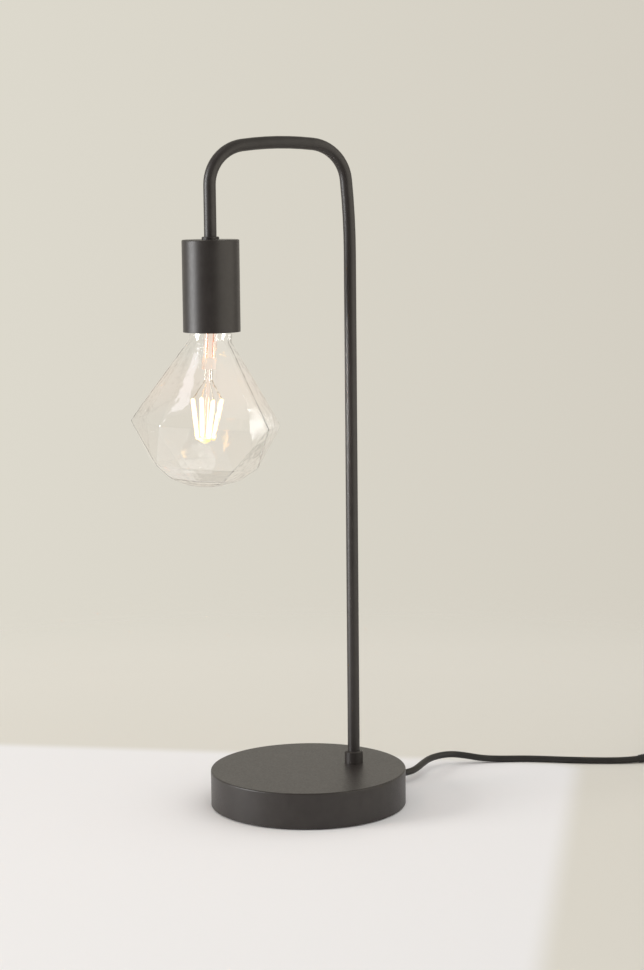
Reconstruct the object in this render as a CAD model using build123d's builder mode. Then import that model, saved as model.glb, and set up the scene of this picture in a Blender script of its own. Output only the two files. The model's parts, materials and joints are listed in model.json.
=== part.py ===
from build123d import *
import os
from math import cos, pi, radians, sin, sqrt, tan

# A table lamp with a round weighted foot, a bent tube for its arm, a cup over its bulb holder and a
# faceted bulb that screws out downwards. Millimetres, +Z up. The origin is the middle of the foot's
# underside, the arm reaches towards -X and the cord leaves towards +X.

# Clearances
slip = 0.05
running_gap = 0.3

# Foot
base_dia = 162.0
base_height = 30.0
shell_wall = 1.5
shell_foot_gap = 1.0
rim_round = 1.2
shell_fit = 0.3
pad_thick = 2.0
pad_inset = 1.2
pad_hole_dia = 9.0
plate_thick = 1.2
weight_thick = 12.0
boss_dia = 12.0
plate_screw_count = 3
plate_screw_ring_radius = 56.0
plate_screw_turn = 60.0
plate_screw_dia = 3.0
plate_screw_length = 8.0
plate_screw_head_dia = 5.6
plate_screw_head_height = 1.7
driver_slot = 0.8
driver_slot_depth = 0.6

# Tube arm
post_rim_distance = 40.0
tube_dia = 10.0
tube_wall = 1.0
hole_slack = 0.1
post_straight_top = 454.5
post_bow_radius = 600.0
post_bow_turn = 5.7
first_bend_radius = 32.0
first_bend_turn = 78.4
top_bow_radius = 260.0
top_bow_turn = 13.3
drop_bend_radius = 31.5
collar_dia = 15.3
collar_height = 10.5
collar_bevel = 0.9
nut_room_dia = 24.0
nut_room_depth = 8.0
washer_dia = 20.0
washer_thick = 1.0
nut_across_flats = 14.0
nut_thick = 3.0
tube_below_nut = 1.0
bush_wall = 1.0
bush_depth = 7.5
bush_flange_dia = 9.8
bush_flange_thick = 1.2

# Cord and its way into the foot
cord_dia = 5.7
cord_exit_turn = 14.0
cord_exit_height = 8.5
grommet_hole_dia = 9.2
grommet_flange_dia = 10.2
grommet_inside = 3.0
grommet_flange_thick = 2.0
relief_length = 14.0
relief_root_dia = 8.6
relief_tip_dia = 7.1
cord_stop_dia = 10.0
cord_stop_length = 7.0
cable_turn_in_inset = 18.0
cable_turn_in_radius = 30.0
cable_rise_radius = 9.5

# Cup
cup_dia = 45.9
cup_wall = 1.2
cup_top = 468.0
cup_height = 73.0
cup_round = 1.0
ring_nut_dia = 14.0
ring_nut_height = 2.3
ring_nut_round = 0.7

# Bulb holder
holder_dia = 40.4
cap_wall = 1.6
cap_height = 26.8
cap_neck_dia = 16.0
cap_neck_height = 6.8
cap_shoulder_drop = 14.3
cap_crown_dia = 27.0
cap_crown_drop = 7.2
cap_crown_slope = 0.2
cap_inner_step = 0.53
lock_screw_dia = 2.9
lock_screw_drop = 3.3
tube_grip = 5.8
skirt_wall = 2.0
skirt_length = 36.0
spigot_wall = 1.5
spigot_height = 10.0
ledge_thick = 2.0
ledge_bore_dia = 29.6
insert_thick = 12.0
insert_sunk = 1.0
insert_bore_dia = 3.2
pocket_offset = 9.5
pocket_width = 6.0
pocket_length = 8.0
pocket_depth = 8.0
block_width = 5.0
block_length = 7.0
block_height = 5.0
wire_hole_dia = 2.1
wire_hole_depth = 2.7
wire_offset = 1.8
terminal_screw_dia = 2.4
terminal_head_dia = 3.8
terminal_head_height = 1.4
strap_thick = 0.5
strap_width = 4.0
rivet_dia = 2.4
screw_shell_bore_dia = 26.9
screw_shell_wall = 0.45
screw_shell_length = 27.0
screw_shell_end_dia = 11.0
contact_drop = 3.4
contact_dia = 9.0
contact_thick = 0.5
core_dia = 2.0
core_spread = 1.2
core_bend = 1.6
core_over_insert = 1.6
sheath_end_drop = 11.8

# Screw thread of bulb and holder, right-handed
thread_pitch = 3.629
male_ridge_radius = 1.1
male_ridge_seat = 12.05
male_turns = 3.5
male_ridge_low = 4.5
female_ridge_radius = 1.05
female_ridge_seat = 13.75
female_turns = 3.0

# Bulb
bulb_cap_dia = 24.2
bulb_cap_wall = 0.4
bulb_cap_rim_dia = 26.2
bulb_cap_rim_height = 1.2
bulb_cap_length = 20.3
bulb_lip = 1.0
bulb_contact_dia = 9.6
bulb_contact_height = 1.7
insulator_height = 3.0
insulator_dia = 24.0
insulator_edge = 0.5
insulator_top_dia = 10.4
board_width = 14.0
board_height = 14.0
board_thick = 1.0
board_low = 5.0
chip_size = 3.5
chip_spacing = 7.0
chip_height = 2.0
glass_tilt = 4.0
glass_wall = 1.0
neck_root_dia = 22.4
neck_into_cap = 5.0
neck_root_depth = 0.5
neck_dia = 32.8
neck_flare_depth = 9.0
facet_count = 8
facet_turn = -10.0
crown_radius = 17.32
crown_depth = 20.0
girdle_radius = 61.0
girdle_depth = 86.0
belt_radius = 44.0
belt_depth = 120.0
heel_radius = 30.0
heel_depth = 130.5
tip_radius = 14.0
tip_depth = 136.3
stem_dia = 10.4
stem_wall = 0.9
stem_flare_dia = 20.2
stem_flare_height = 2.0
stem_straight_depth = 5.0
pinch_depth = 34.0
pinch_length = 9.0
pinch_width = 10.0
pinch_thick = 6.4
rod_dia = 3.2
rod_end_depth = 98.0
lead_dia = 0.7
lead_offset = 2.5
filament_count = 4
filament_turn = 3.7
filament_dia = 2.0
filament_top_depth = 67.0
filament_top_radius = 12.5
filament_end_depth = 97.7
filament_end_radius = 7.0
filament_wire_dia = 0.8
filament_wire_root = 2.6
hub_width = 1.6
hub_thick = 1.2

# Switch on the cord
switch_x = 375.0
switch_y = -18.0
cord_heading = -21.0
switch_length = 60.0
switch_width = 25.0
switch_wall = 1.8
switch_floor = 1.8
switch_split = 7.0
switch_height = 18.0
switch_corner = 6.0
switch_top_round = 2.2
rocker_length = 15.2
rocker_width = 9.6
rocker_gap = 0.5
rocker_tilt = 10.0
rocker_pivot_height = 14.2
rocker_pivot_dia = 2.4
rocker_dip = 1.0
rocker_rise = 4.2
rocker_reach = 4.2
rocker_opening = 17.4
rib_thick = 1.8
rib_length = 8.0
rib_drop = 5.9
contact_block_offset = 11.0
contact_block_length = 5.0
contact_block_width = 6.0
contact_block_top = 8.2
core_room = 7.5
bridge_thick = 0.4
bridge_width = 4.0
neutral_detour = 4.5
neutral_sink = 5.0
neutral_clearance = 0.5
neutral_step = 4.5
switch_screw_x = 17.0
switch_screw_y = 8.6
switch_boss_dia = 5.6
switch_screw_dia = 2.4
switch_screw_head_dia = 4.4
switch_screw_head_height = 1.3
switch_screw_length = 11.4
grip_length = 4.0
grip_width = 17.0
grip_thick = 2.0

# Coil of the spare cord
cord_straight_out = 10.0
coil_straight_in = 15.0
coil_x = 422.5
coil_y = 27.3
coil_inner = 21.2
coil_pitch = 6.2
coil_turns = 7.0
climb_turns = 0.5
climb_dip = 1.55
climb_slope = 0.145
tail_straight_out = 6.5
tail_drop_run = 14.5

# Mains plug with two pins
plug_width = 35.3
plug_thick = 13.7
plug_back = 12.0
plug_back_width = 13.0
plug_shoulder = 28.0
plug_face = 48.0
plug_round = 2.0
plug_relief_tip_dia = 7.1
plug_relief_root_dia = 10.0
pin_spacing = 18.6
pin_dia = 4.0
pin_length = 19.0
pin_seat = 8.0
pin_core_dia = 3.0
pin_tip_round = 1.2
sleeve_length = 10.0

# Heights and radii that follow from the sizes above
base_radius = base_dia / 2
post_x = base_radius - post_rim_distance
cable_turn_in = base_radius - cable_turn_in_inset
inside_radius = base_radius - shell_wall - shell_fit
roof_low = base_height - shell_wall
plate_top = pad_thick + plate_thick
weight_low = roof_low - weight_thick
nut_seat = weight_low + nut_room_depth
nut_top = nut_seat - washer_thick
nut_low = nut_top - nut_thick
tube_low = nut_low - tube_below_nut
tube_radius = tube_dia / 2
tube_bore = tube_radius - tube_wall
cord_radius = cord_dia / 2
cord_bore = cord_radius + slip
holder_top = cup_top - cup_wall
cup_low = cup_top - cup_height
neck_low = holder_top - cap_neck_height
tube_end = holder_top - tube_grip
holder_split = holder_top - cap_height
spigot_top = holder_split + spigot_height
insert_top = spigot_top - insert_sunk
insert_low = insert_top - insert_thick
pocket_floor = insert_top - pocket_depth
block_top = pocket_floor + block_height
holder_radius = holder_dia / 2
cap_bore = holder_radius - cap_wall
spigot_radius = cap_bore - slip
insert_fit = spigot_radius - spigot_wall
screw_shell_bore = screw_shell_bore_dia / 2
screw_shell_low = insert_low - screw_shell_length
contact_low = insert_low - contact_drop
bulb_contact_low = contact_low - running_gap - bulb_contact_height
insulator_low = bulb_contact_low - insulator_height
bulb_cap_top = insulator_low - running_gap
bulb_rim = bulb_cap_top - bulb_cap_length
relief_tip = base_radius + grommet_flange_thick + relief_length


def upright(x):
    """A drawing plane over (x, 0) whose coordinates are radius and height."""
    return Plane(origin=(x, 0, 0), x_dir=(1, 0, 0), z_dir=(0, -1, 0))


def turned(plane, *outline, mode=Mode.ADD):
    """Spins a closed outline of (radius, height) points about the plane's second direction."""
    with BuildSketch(plane) as profile:
        with BuildLine():
            Polyline(*outline, close=True)
        make_face()
    revolve(profile.sketch, axis=Axis(plane.origin, plane.y_dir), mode=mode)


def rod(start, end, radius, mode=Mode.ADD):
    """A round bar from one point to another."""
    way = Vector(*end) - Vector(*start)
    with BuildSketch(Plane(origin=start, z_dir=way)) as section:
        Circle(radius)
    extrude(section.sketch, amount=way.length, mode=mode)


def swept(path, radius, bore=0.0):
    """A round wire, or a tube where it has a bore, along a path."""
    with BuildSketch(Plane(origin=path @ 0, z_dir=path % 0)) as section:
        Circle(radius)
        if bore:
            Circle(bore, mode=Mode.SUBTRACT)
    sweep(section.sketch, path=path)


def keep(piece, name):
    """Labels a finished piece and writes it out."""
    piece.part.label = name
    export_step(piece.part, f"parts/{name}.step")


os.makedirs("parts", exist_ok=True)
foot_axis = upright(0)
post_axis = upright(post_x)
exit_way = Vector(cos(radians(cord_exit_turn)), sin(radians(cord_exit_turn)), 0)
exit_middle = Vector(0, 0, cord_exit_height)
exit_axis = Plane(origin=exit_middle, x_dir=(0, 0, 1), z_dir=(-exit_way.Y, exit_way.X, 0))
exit_point = exit_middle + exit_way * relief_tip


# Foot: pad, plate, screws, weight and shell

def screw_places():
    """The places of the plate's screws, evenly spaced round the foot."""
    return PolarLocations(plate_screw_ring_radius, plate_screw_count, start_angle=plate_screw_turn)


with BuildPart() as base_pad:
    with BuildSketch():
        Circle(inside_radius - pad_inset)
        with screw_places():
            Circle(pad_hole_dia / 2, mode=Mode.SUBTRACT)
    extrude(amount=pad_thick)
keep(base_pad, "base_pad")

with BuildPart() as base_plate:
    with BuildSketch(Plane.XY.offset(pad_thick)):
        Circle(inside_radius)
        with screw_places():
            Circle(plate_screw_dia / 2 + slip, mode=Mode.SUBTRACT)
    extrude(amount=plate_thick)
keep(base_plate, "base_plate")

with BuildPart() as base_plate_screws:
    with BuildSketch(Plane.XY.offset(pad_thick)):
        with screw_places():
            Circle(plate_screw_dia / 2)
    extrude(amount=plate_screw_length)
    with BuildSketch(Plane.XY.offset(pad_thick)):
        with screw_places():
            Circle(plate_screw_head_dia / 2)
    extrude(amount=-plate_screw_head_height)
    fillet(base_plate_screws.edges().group_by(Axis.Z)[0], plate_screw_head_height / 4)
    with BuildSketch(Plane.XY.offset(pad_thick - plate_screw_head_height)):
        with screw_places():
            Rectangle(driver_slot, plate_screw_head_dia)
    extrude(amount=driver_slot_depth, mode=Mode.SUBTRACT)
keep(base_plate_screws, "base_plate_screws")

with BuildPart() as base_weight:
    with BuildSketch(Plane.XY.offset(weight_low)):
        Circle(inside_radius)
    extrude(amount=weight_thick)
    with BuildSketch(Plane.XY.offset(plate_top)):
        with screw_places():
            Circle(boss_dia / 2)
    extrude(amount=weight_low - plate_top)
    with BuildSketch(Plane.XY.offset(weight_low)):
        with Locations((post_x, 0)):
            Circle(nut_room_dia / 2)
    extrude(amount=nut_room_depth, mode=Mode.SUBTRACT)
    with BuildSketch(Plane.XY.offset(nut_seat)):
        with Locations((post_x, 0)):
            Circle(tube_radius + hole_slack)
    extrude(amount=roof_low - nut_seat, mode=Mode.SUBTRACT)
    with BuildSketch(Plane.XY.offset(plate_top)):
        with screw_places():
            Circle(plate_screw_dia / 2 + slip)
    extrude(amount=plate_screw_length, mode=Mode.SUBTRACT)
keep(base_weight, "base_weight")

with BuildPart() as base_shell:
    turned(
        foot_axis,
        (base_radius - shell_wall, shell_foot_gap),
        (base_radius, shell_foot_gap),
        (base_radius, base_height),
        (0, base_height),
        (0, roof_low),
        (base_radius - shell_wall, roof_low),
    )
    fillet(base_shell.edges().group_by(Axis.Z)[-1], rim_round)
    rod((post_x, 0, roof_low - shell_wall), (post_x, 0, base_height + shell_wall), tube_radius + hole_slack,
        mode=Mode.SUBTRACT)
    rod(exit_middle + exit_way * inside_radius, exit_middle + exit_way * (base_radius + shell_wall),
        grommet_hole_dia / 2, mode=Mode.SUBTRACT)
keep(base_shell, "base_shell")

with BuildPart() as cord_grommet:
    grommet_back = base_radius - shell_wall - grommet_inside
    turned(
        exit_axis,
        (cord_bore, grommet_back),
        (grommet_flange_dia / 2, grommet_back),
        (grommet_flange_dia / 2, base_radius + grommet_flange_thick),
        (relief_root_dia / 2, base_radius + grommet_flange_thick),
        (relief_tip_dia / 2, relief_tip),
        (cord_bore, relief_tip),
    )
    add(base_shell.part, mode=Mode.SUBTRACT)
keep(cord_grommet, "cord_grommet")

with BuildPart() as cord_stop:
    turned(
        exit_axis,
        (cord_bore, grommet_back - cord_stop_length),
        (cord_stop_dia / 2, grommet_back - cord_stop_length),
        (cord_stop_dia / 2, grommet_back),
        (cord_bore, grommet_back),
    )
keep(cord_stop, "cord_stop")


# Post: collar, washer, nut, bush and the bent tube

with BuildPart() as foot_collar:
    turned(
        post_axis,
        (tube_radius + slip, base_height),
        (collar_dia / 2, base_height),
        (collar_dia / 2, base_height + collar_height - collar_bevel),
        (collar_dia / 2 - collar_bevel, base_height + collar_height),
        (tube_radius + slip, base_height + collar_height),
    )
keep(foot_collar, "foot_collar")

with BuildPart() as stem_washer:
    turned(
        post_axis,
        (tube_radius + hole_slack, nut_top),
        (washer_dia / 2, nut_top),
        (washer_dia / 2, nut_seat),
        (tube_radius + hole_slack, nut_seat),
    )
keep(stem_washer, "stem_washer")

with BuildPart() as stem_nut:
    with BuildSketch(Plane.XY.offset(nut_low)):
        with Locations((post_x, 0)):
            RegularPolygon(nut_across_flats / 2, 6, major_radius=False)
            Circle(tube_radius + slip, mode=Mode.SUBTRACT)
    extrude(amount=nut_thick)
keep(stem_nut, "stem_nut")

with BuildPart() as stem_bush:
    bush_radius = tube_bore - slip
    turned(
        post_axis,
        (bush_radius - bush_wall, tube_low - bush_flange_thick),
        (bush_flange_dia / 2, tube_low - bush_flange_thick),
        (bush_flange_dia / 2, tube_low),
        (bush_radius, tube_low),
        (bush_radius, tube_low + bush_depth),
        (bush_radius - bush_wall, tube_low + bush_depth),
    )
keep(stem_bush, "stem_bush")


def arm_arcs(line):
    """The arm's four tangent arcs, on from the end of the upright post."""
    last_turn = 180 - post_bow_turn - first_bend_turn - top_bow_turn
    for radius, turn in (
        (post_bow_radius, post_bow_turn),
        (first_bend_radius, first_bend_turn),
        (top_bow_radius, top_bow_turn),
        (drop_bend_radius, last_turn),
    ):
        line = JernArc(line @ 1, line % 1, radius, turn)
    return line


with BuildLine(Plane.XZ) as arm_path:
    post_line = Line((post_x, tube_low), (post_x, post_straight_top))
    drop_bend = arm_arcs(post_line)
    drop_start = drop_bend @ 1
    Line(drop_start, Vector(drop_start.X, 0, tube_end))
drop_x = drop_start.X
drop_axis = upright(drop_x)

with BuildPart() as stem_tube:
    swept(arm_path.line, tube_radius, tube_bore)
keep(stem_tube, "stem_tube")

with BuildLine(Plane.XZ) as cable_path:
    inlet = FilletPolyline(
        exit_point,
        exit_middle + exit_way * cable_turn_in,
        Vector(post_x, 0, cord_exit_height),
        Vector(post_x, 0, post_straight_top),
        radius=[cable_turn_in_radius, cable_rise_radius],
    )
    cable_bend = arm_arcs(inlet)
    Line(cable_bend @ 1, Vector(drop_x, 0, holder_top - sheath_end_drop))
with BuildPart() as inner_cable:
    swept(cable_path.line, cord_radius)
keep(inner_cable, "inner_cable")


# Cup over the holder

with BuildPart() as socket_cup:
    turned(
        drop_axis,
        (tube_radius + hole_slack, holder_top),
        (cup_dia / 2 - cup_wall, holder_top),
        (cup_dia / 2 - cup_wall, cup_low),
        (cup_dia / 2, cup_low),
        (cup_dia / 2, cup_top),
        (tube_radius + hole_slack, cup_top),
    )
    fillet(socket_cup.edges().group_by(Axis.Z)[-1].sort_by(SortBy.LENGTH)[-1], cup_round)
keep(socket_cup, "socket_cup")

with BuildPart() as cup_ring_nut:
    turned(
        drop_axis,
        (tube_radius + slip, cup_top),
        (ring_nut_dia / 2, cup_top),
        (ring_nut_dia / 2, cup_top + ring_nut_height),
        (tube_radius + slip, cup_top + ring_nut_height),
    )
    fillet(cup_ring_nut.edges().group_by(Axis.Z)[-1].sort_by(SortBy.LENGTH)[-1], ring_nut_round)
keep(cup_ring_nut, "cup_ring_nut")


# Bulb holder: cap, lock screw, skirt, insert, contacts, terminals and cores

lock_height = holder_top - lock_screw_drop
with BuildPart() as holder_cap:
    turned(
        drop_axis,
        (tube_radius + slip, holder_top),
        (cap_neck_dia / 2, holder_top),
        (cap_neck_dia / 2, neck_low + cap_wall),
        (cap_crown_dia / 2, holder_top - cap_crown_drop + cap_crown_slope),
        (holder_radius, holder_top - cap_shoulder_drop),
        (holder_radius, holder_split),
        (cap_bore, holder_split),
        (cap_bore, holder_top - cap_shoulder_drop - cap_inner_step),
        (cap_crown_dia / 2 - cap_inner_step, holder_top - cap_crown_drop - cap_wall),
        (cap_neck_dia / 2 - slip, neck_low),
        (tube_radius + slip, neck_low),
    )
    rod((drop_x, tube_radius, lock_height), (drop_x, cap_neck_dia, lock_height), lock_screw_dia / 2 + slip,
        mode=Mode.SUBTRACT)
keep(holder_cap, "holder_cap")

with BuildPart() as holder_lock_screw:
    rod((drop_x, tube_radius + slip, lock_height), (drop_x, cap_neck_dia / 2, lock_height), lock_screw_dia / 2)
    with BuildSketch(Plane(origin=(drop_x, cap_neck_dia / 2, lock_height), z_dir=(0, 1, 0))):
        Rectangle(driver_slot, lock_screw_dia)
    extrude(amount=-driver_slot_depth, mode=Mode.SUBTRACT)
keep(holder_lock_screw, "holder_lock_screw")

with BuildPart() as holder_skirt:
    turned(
        drop_axis,
        (holder_radius - skirt_wall, holder_split - skirt_length),
        (holder_radius, holder_split - skirt_length),
        (holder_radius, holder_split),
        (spigot_radius, holder_split),
        (spigot_radius, spigot_top),
        (insert_fit, spigot_top),
        (insert_fit, insert_low),
        (ledge_bore_dia / 2, insert_low),
        (ledge_bore_dia / 2, insert_low - ledge_thick),
        (holder_radius - skirt_wall, insert_low - ledge_thick),
    )
keep(holder_skirt, "holder_skirt")

pocket_places = Locations((drop_x - pocket_offset, 0), (drop_x + pocket_offset, 0))
with BuildPart() as holder_insert:
    with BuildSketch(Plane.XY.offset(insert_low)):
        with Locations((drop_x, 0)):
            Circle(insert_fit - slip)
            Circle(insert_bore_dia / 2, mode=Mode.SUBTRACT)
        with Locations((drop_x + pocket_offset, 0)):
            Circle(rivet_dia / 2 + slip, mode=Mode.SUBTRACT)
    extrude(amount=insert_thick)
    with BuildSketch(Plane.XY.offset(insert_top)):
        with pocket_places:
            Rectangle(pocket_width, pocket_length)
    extrude(amount=-pocket_depth, mode=Mode.SUBTRACT)
keep(holder_insert, "holder_insert")

with BuildPart() as terminal_blocks:
    with BuildSketch(Plane.XY.offset(pocket_floor)):
        with pocket_places:
            Rectangle(block_width, block_length)
    extrude(amount=block_height)
    with BuildSketch(Plane.XY.offset(block_top)):
        for side in (-1, 1):
            with Locations((drop_x + side * pocket_offset, wire_offset)):
                Circle(wire_hole_dia / 2)
            with Locations((drop_x + side * pocket_offset, -wire_offset)):
                Circle(terminal_screw_dia / 2 + slip)
    extrude(amount=-wire_hole_depth, mode=Mode.SUBTRACT)
keep(terminal_blocks, "terminal_blocks")

screw_spots = Locations(*[(drop_x + side * pocket_offset, -wire_offset) for side in (-1, 1)])
with BuildPart() as terminal_screws:
    with BuildSketch(Plane.XY.offset(block_top)):
        with screw_spots:
            Circle(terminal_screw_dia / 2)
    extrude(amount=-wire_hole_depth)
    with BuildSketch(Plane.XY.offset(block_top)):
        with screw_spots:
            Circle(terminal_head_dia / 2)
    extrude(amount=terminal_head_height)
    with BuildSketch(Plane.XY.offset(block_top + terminal_head_height)):
        with screw_spots:
            Rectangle(driver_slot, terminal_head_dia)
    extrude(amount=-driver_slot_depth, mode=Mode.SUBTRACT)
keep(terminal_screws, "terminal_screws")

with BuildPart() as centre_contact:
    rod((drop_x, 0, contact_low), (drop_x, 0, contact_low + contact_thick), contact_dia / 2)
    rod((drop_x, 0, contact_low), (drop_x, 0, insert_top + strap_thick), insert_bore_dia / 2 - slip)
    strap_end = drop_x - pocket_offset + block_width / 2
    with BuildSketch(Plane.XZ) as strap:
        with BuildLine():
            Polyline(
                (drop_x + insert_bore_dia / 2, insert_top),
                (drop_x + insert_bore_dia / 2, insert_top + strap_thick),
                (strap_end, insert_top + strap_thick),
                (strap_end, pocket_floor + block_height / 2),
                (strap_end + pocket_width / 2 - block_width / 2, pocket_floor + block_height / 2),
                (strap_end + pocket_width / 2 - block_width / 2, insert_top),
                close=True,
            )
        make_face()
    extrude(strap.sketch, amount=strap_width / 2, both=True)
keep(centre_contact, "centre_contact")

with BuildPart() as side_contact:
    rivet_x = drop_x + pocket_offset
    rod((rivet_x, 0, insert_low), (rivet_x, 0, pocket_floor), rivet_dia / 2)
keep(side_contact, "side_contact")


def core_part(side):
    """One insulated core, from the end of the cable's sheath into its terminal."""
    sheath_end = holder_top - sheath_end_drop
    spread = drop_x + side * core_spread
    over = drop_x + side * pocket_offset
    with BuildLine() as way:
        FilletPolyline(
            Vector(spread, 0, sheath_end),
            Vector(spread, 0, sheath_end - cord_radius),
            Vector(over, wire_offset, insert_top + core_over_insert),
            Vector(over, wire_offset, block_top - wire_hole_depth + slip),
            radius=[core_bend, core_bend],
        )
    swept(way.line, core_dia / 2)


with BuildPart() as live_core:
    core_part(-1)
keep(live_core, "live_core")

with BuildPart() as neutral_core:
    core_part(1)
keep(neutral_core, "neutral_core")


def thread_ridge(low, turns, seat, ridge_radius):
    """A round ridge that winds about the holder's axis, from the same side for bulb and holder."""
    with BuildLine() as spiral:
        Helix(thread_pitch, turns * thread_pitch, seat, center=(drop_x, 0, low))
    with BuildSketch(Plane(origin=spiral.line @ 0, z_dir=spiral.line % 0)) as bead:
        Circle(ridge_radius)
    sweep(bead.sketch, path=spiral.line, is_frenet=True)


male_low = bulb_rim + male_ridge_low
with BuildPart() as screw_shell:
    shell_outer = screw_shell_bore + screw_shell_wall
    turned(
        drop_axis,
        (screw_shell_bore, screw_shell_low),
        (shell_outer, screw_shell_low),
        (shell_outer, insert_low),
        (screw_shell_end_dia / 2, insert_low),
        (screw_shell_end_dia / 2, insert_low - screw_shell_wall),
        (screw_shell_bore, insert_low - screw_shell_wall),
    )
    thread_ridge(male_low + thread_pitch / 2, female_turns, female_ridge_seat, female_ridge_radius)
    turned(
        drop_axis,
        (shell_outer, screw_shell_low),
        (shell_outer + female_ridge_radius, screw_shell_low),
        (shell_outer + female_ridge_radius, insert_low),
        (shell_outer, insert_low),
        mode=Mode.SUBTRACT,
    )
keep(screw_shell, "screw_shell")


# Bulb: contact, insulator, screw cap, driver, glass, stem and filaments

with BuildPart() as bulb_contact:
    bulb_contact_top = bulb_contact_low + bulb_contact_height
    rod((drop_x, 0, bulb_contact_low), (drop_x, 0, bulb_contact_top), bulb_contact_dia / 2)
    fillet(bulb_contact.edges().group_by(Axis.Z)[-1], bulb_contact_height / 2)
keep(bulb_contact, "bulb_contact")

with BuildPart() as bulb_insulator:
    turned(
        drop_axis,
        (0, insulator_low),
        (insulator_dia / 2, insulator_low),
        (insulator_dia / 2, insulator_low + insulator_edge),
        (insulator_top_dia / 2, bulb_contact_low),
        (0, bulb_contact_low),
    )
keep(bulb_insulator, "bulb_insulator")

with BuildPart() as bulb_cap:
    cap_radius = bulb_cap_dia / 2
    cap_inner = cap_radius - bulb_cap_wall
    rim_top = bulb_rim + bulb_cap_rim_height
    turned(
        drop_axis,
        (cap_inner, bulb_rim),
        (bulb_cap_rim_dia / 2, bulb_rim),
        (bulb_cap_rim_dia / 2, rim_top),
        (cap_radius, rim_top + bulb_cap_rim_height),
        (cap_radius, bulb_cap_top - bulb_lip),
        (cap_radius - bulb_lip, bulb_cap_top),
        (cap_inner - bulb_lip, bulb_cap_top),
        (cap_inner, bulb_cap_top - bulb_lip),
    )
    thread_ridge(male_low, male_turns, male_ridge_seat, male_ridge_radius)
    rod((drop_x, 0, bulb_rim), (drop_x, 0, bulb_cap_top - bulb_lip), cap_inner, mode=Mode.SUBTRACT)
keep(bulb_cap, "bulb_cap")

with BuildPart() as bulb_driver:
    with BuildSketch(Plane(origin=(drop_x, 0, bulb_rim + board_low), z_dir=(0, 0, 1))):
        Rectangle(board_width, board_thick)
    extrude(amount=board_height)
    chip_middle = bulb_rim + board_low + board_height / 2
    with BuildSketch(Plane(origin=(drop_x, board_thick / 2, chip_middle), z_dir=(0, 1, 0))):
        with GridLocations(chip_spacing, chip_spacing, 2, 2):
            Rectangle(chip_size, chip_size)
    extrude(amount=chip_height)
keep(bulb_driver, "bulb_driver")

# The glass hangs a little askew in its cap, so the glass parts have an axis of their own
tilt = radians(glass_tilt)
glass_side = Vector(cos(tilt), 0, -sin(tilt))
glass_up = Vector(sin(tilt), 0, cos(tilt))
glass_root = Vector(drop_x, 0, bulb_rim)
glass_axis = Plane(origin=glass_root, x_dir=glass_side, z_dir=(0, -1, 0))


def in_bulb(radius, turn, depth):
    """A point of the bulb, by its distance from the glass's axis, its turn and its depth below the cap."""
    across = glass_side * (radius * cos(radians(turn))) + Vector(0, radius * sin(radians(turn)), 0)
    return glass_root + across - glass_up * depth


def faceted(rings, mode=Mode.ADD):
    """A closed solid through rings of corners, with triangles where a ring is turned from the last."""
    step = 360 / facet_count
    corners = [
        [in_bulb(radius, turn + step * k, depth) for k in range(facet_count)] for radius, depth, turn in rings
    ]
    faces = [Face(Wire.make_polygon(corners[0])), Face(Wire.make_polygon(corners[-1]))]
    for upper, lower, (_, _, above), (_, _, below) in zip(corners, corners[1:], rings, rings[1:]):
        for k in range(facet_count):
            nxt = (k + 1) % facet_count
            if above == below:
                faces.append(Face(Wire.make_polygon([upper[k], upper[nxt], lower[nxt], lower[k]])))
            else:
                faces.append(Face(Wire.make_polygon([upper[k], upper[nxt], lower[k]])))
                faces.append(Face(Wire.make_polygon([lower[k], upper[nxt], lower[nxt]])))
    add(Solid(Shell(faces)), mode=mode)


def inset(rings, wall):
    """The same rings, moved inwards so that flat facets between them stand one wall apart."""
    flat = cos(pi / facet_count)
    profile = [Vector(radius * flat, depth) for radius, depth, _ in rings]
    ways = [(after - before).normalized() for before, after in zip(profile, profile[1:])]
    inward = [Vector(0, 1)] + [Vector(-way.Y, way.X) for way in ways] + [Vector(0, -1)]
    moved = []
    for spot, above, below, (_, _, turn) in zip(profile, inward, inward[1:], rings):
        corner = spot + (above + below) * (wall / (1 + above.dot(below)))
        moved.append((corner.X / flat, corner.Y, turn))
    return moved


half_step = 180 / facet_count
glass_rings = [
    (crown_radius, crown_depth, facet_turn),
    (girdle_radius, girdle_depth, facet_turn),
    (belt_radius, belt_depth, facet_turn + half_step),
    (heel_radius, heel_depth, facet_turn + half_step),
    (tip_radius, tip_depth, facet_turn + half_step),
]


def glass_neck(thinner, mode):
    """The round neck, which swells from the cap to the crown of the facets."""
    root = neck_root_dia / 2 - thinner
    wide = neck_dia / 2 - thinner
    foot = crown_depth + 2 * glass_wall
    with BuildSketch(glass_axis) as profile:
        with BuildLine():
            top = Line((0, neck_into_cap), (root, neck_into_cap))
            side = Line(top @ 1, (root, -neck_root_depth))
            middle = (root / 2 + wide / 2, -neck_root_depth / 2 - neck_flare_depth / 2)
            swell = TangentArc(side @ 1, middle, tangent=side % 1)
            full = TangentArc(swell @ 1, (wide, -neck_flare_depth), tangent=swell % 1)
            Polyline(full @ 1, (wide, -foot), (0, -foot), top @ 0)
        make_face()
    revolve(profile.sketch, axis=Axis(glass_axis.origin, glass_axis.y_dir), mode=mode)


with BuildPart() as bulb_glass:
    faceted(glass_rings)
    glass_neck(0, Mode.ADD)
    faceted(inset(glass_rings, glass_wall), mode=Mode.SUBTRACT)
    glass_neck(glass_wall, Mode.SUBTRACT)
keep(bulb_glass, "bulb_glass")

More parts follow.
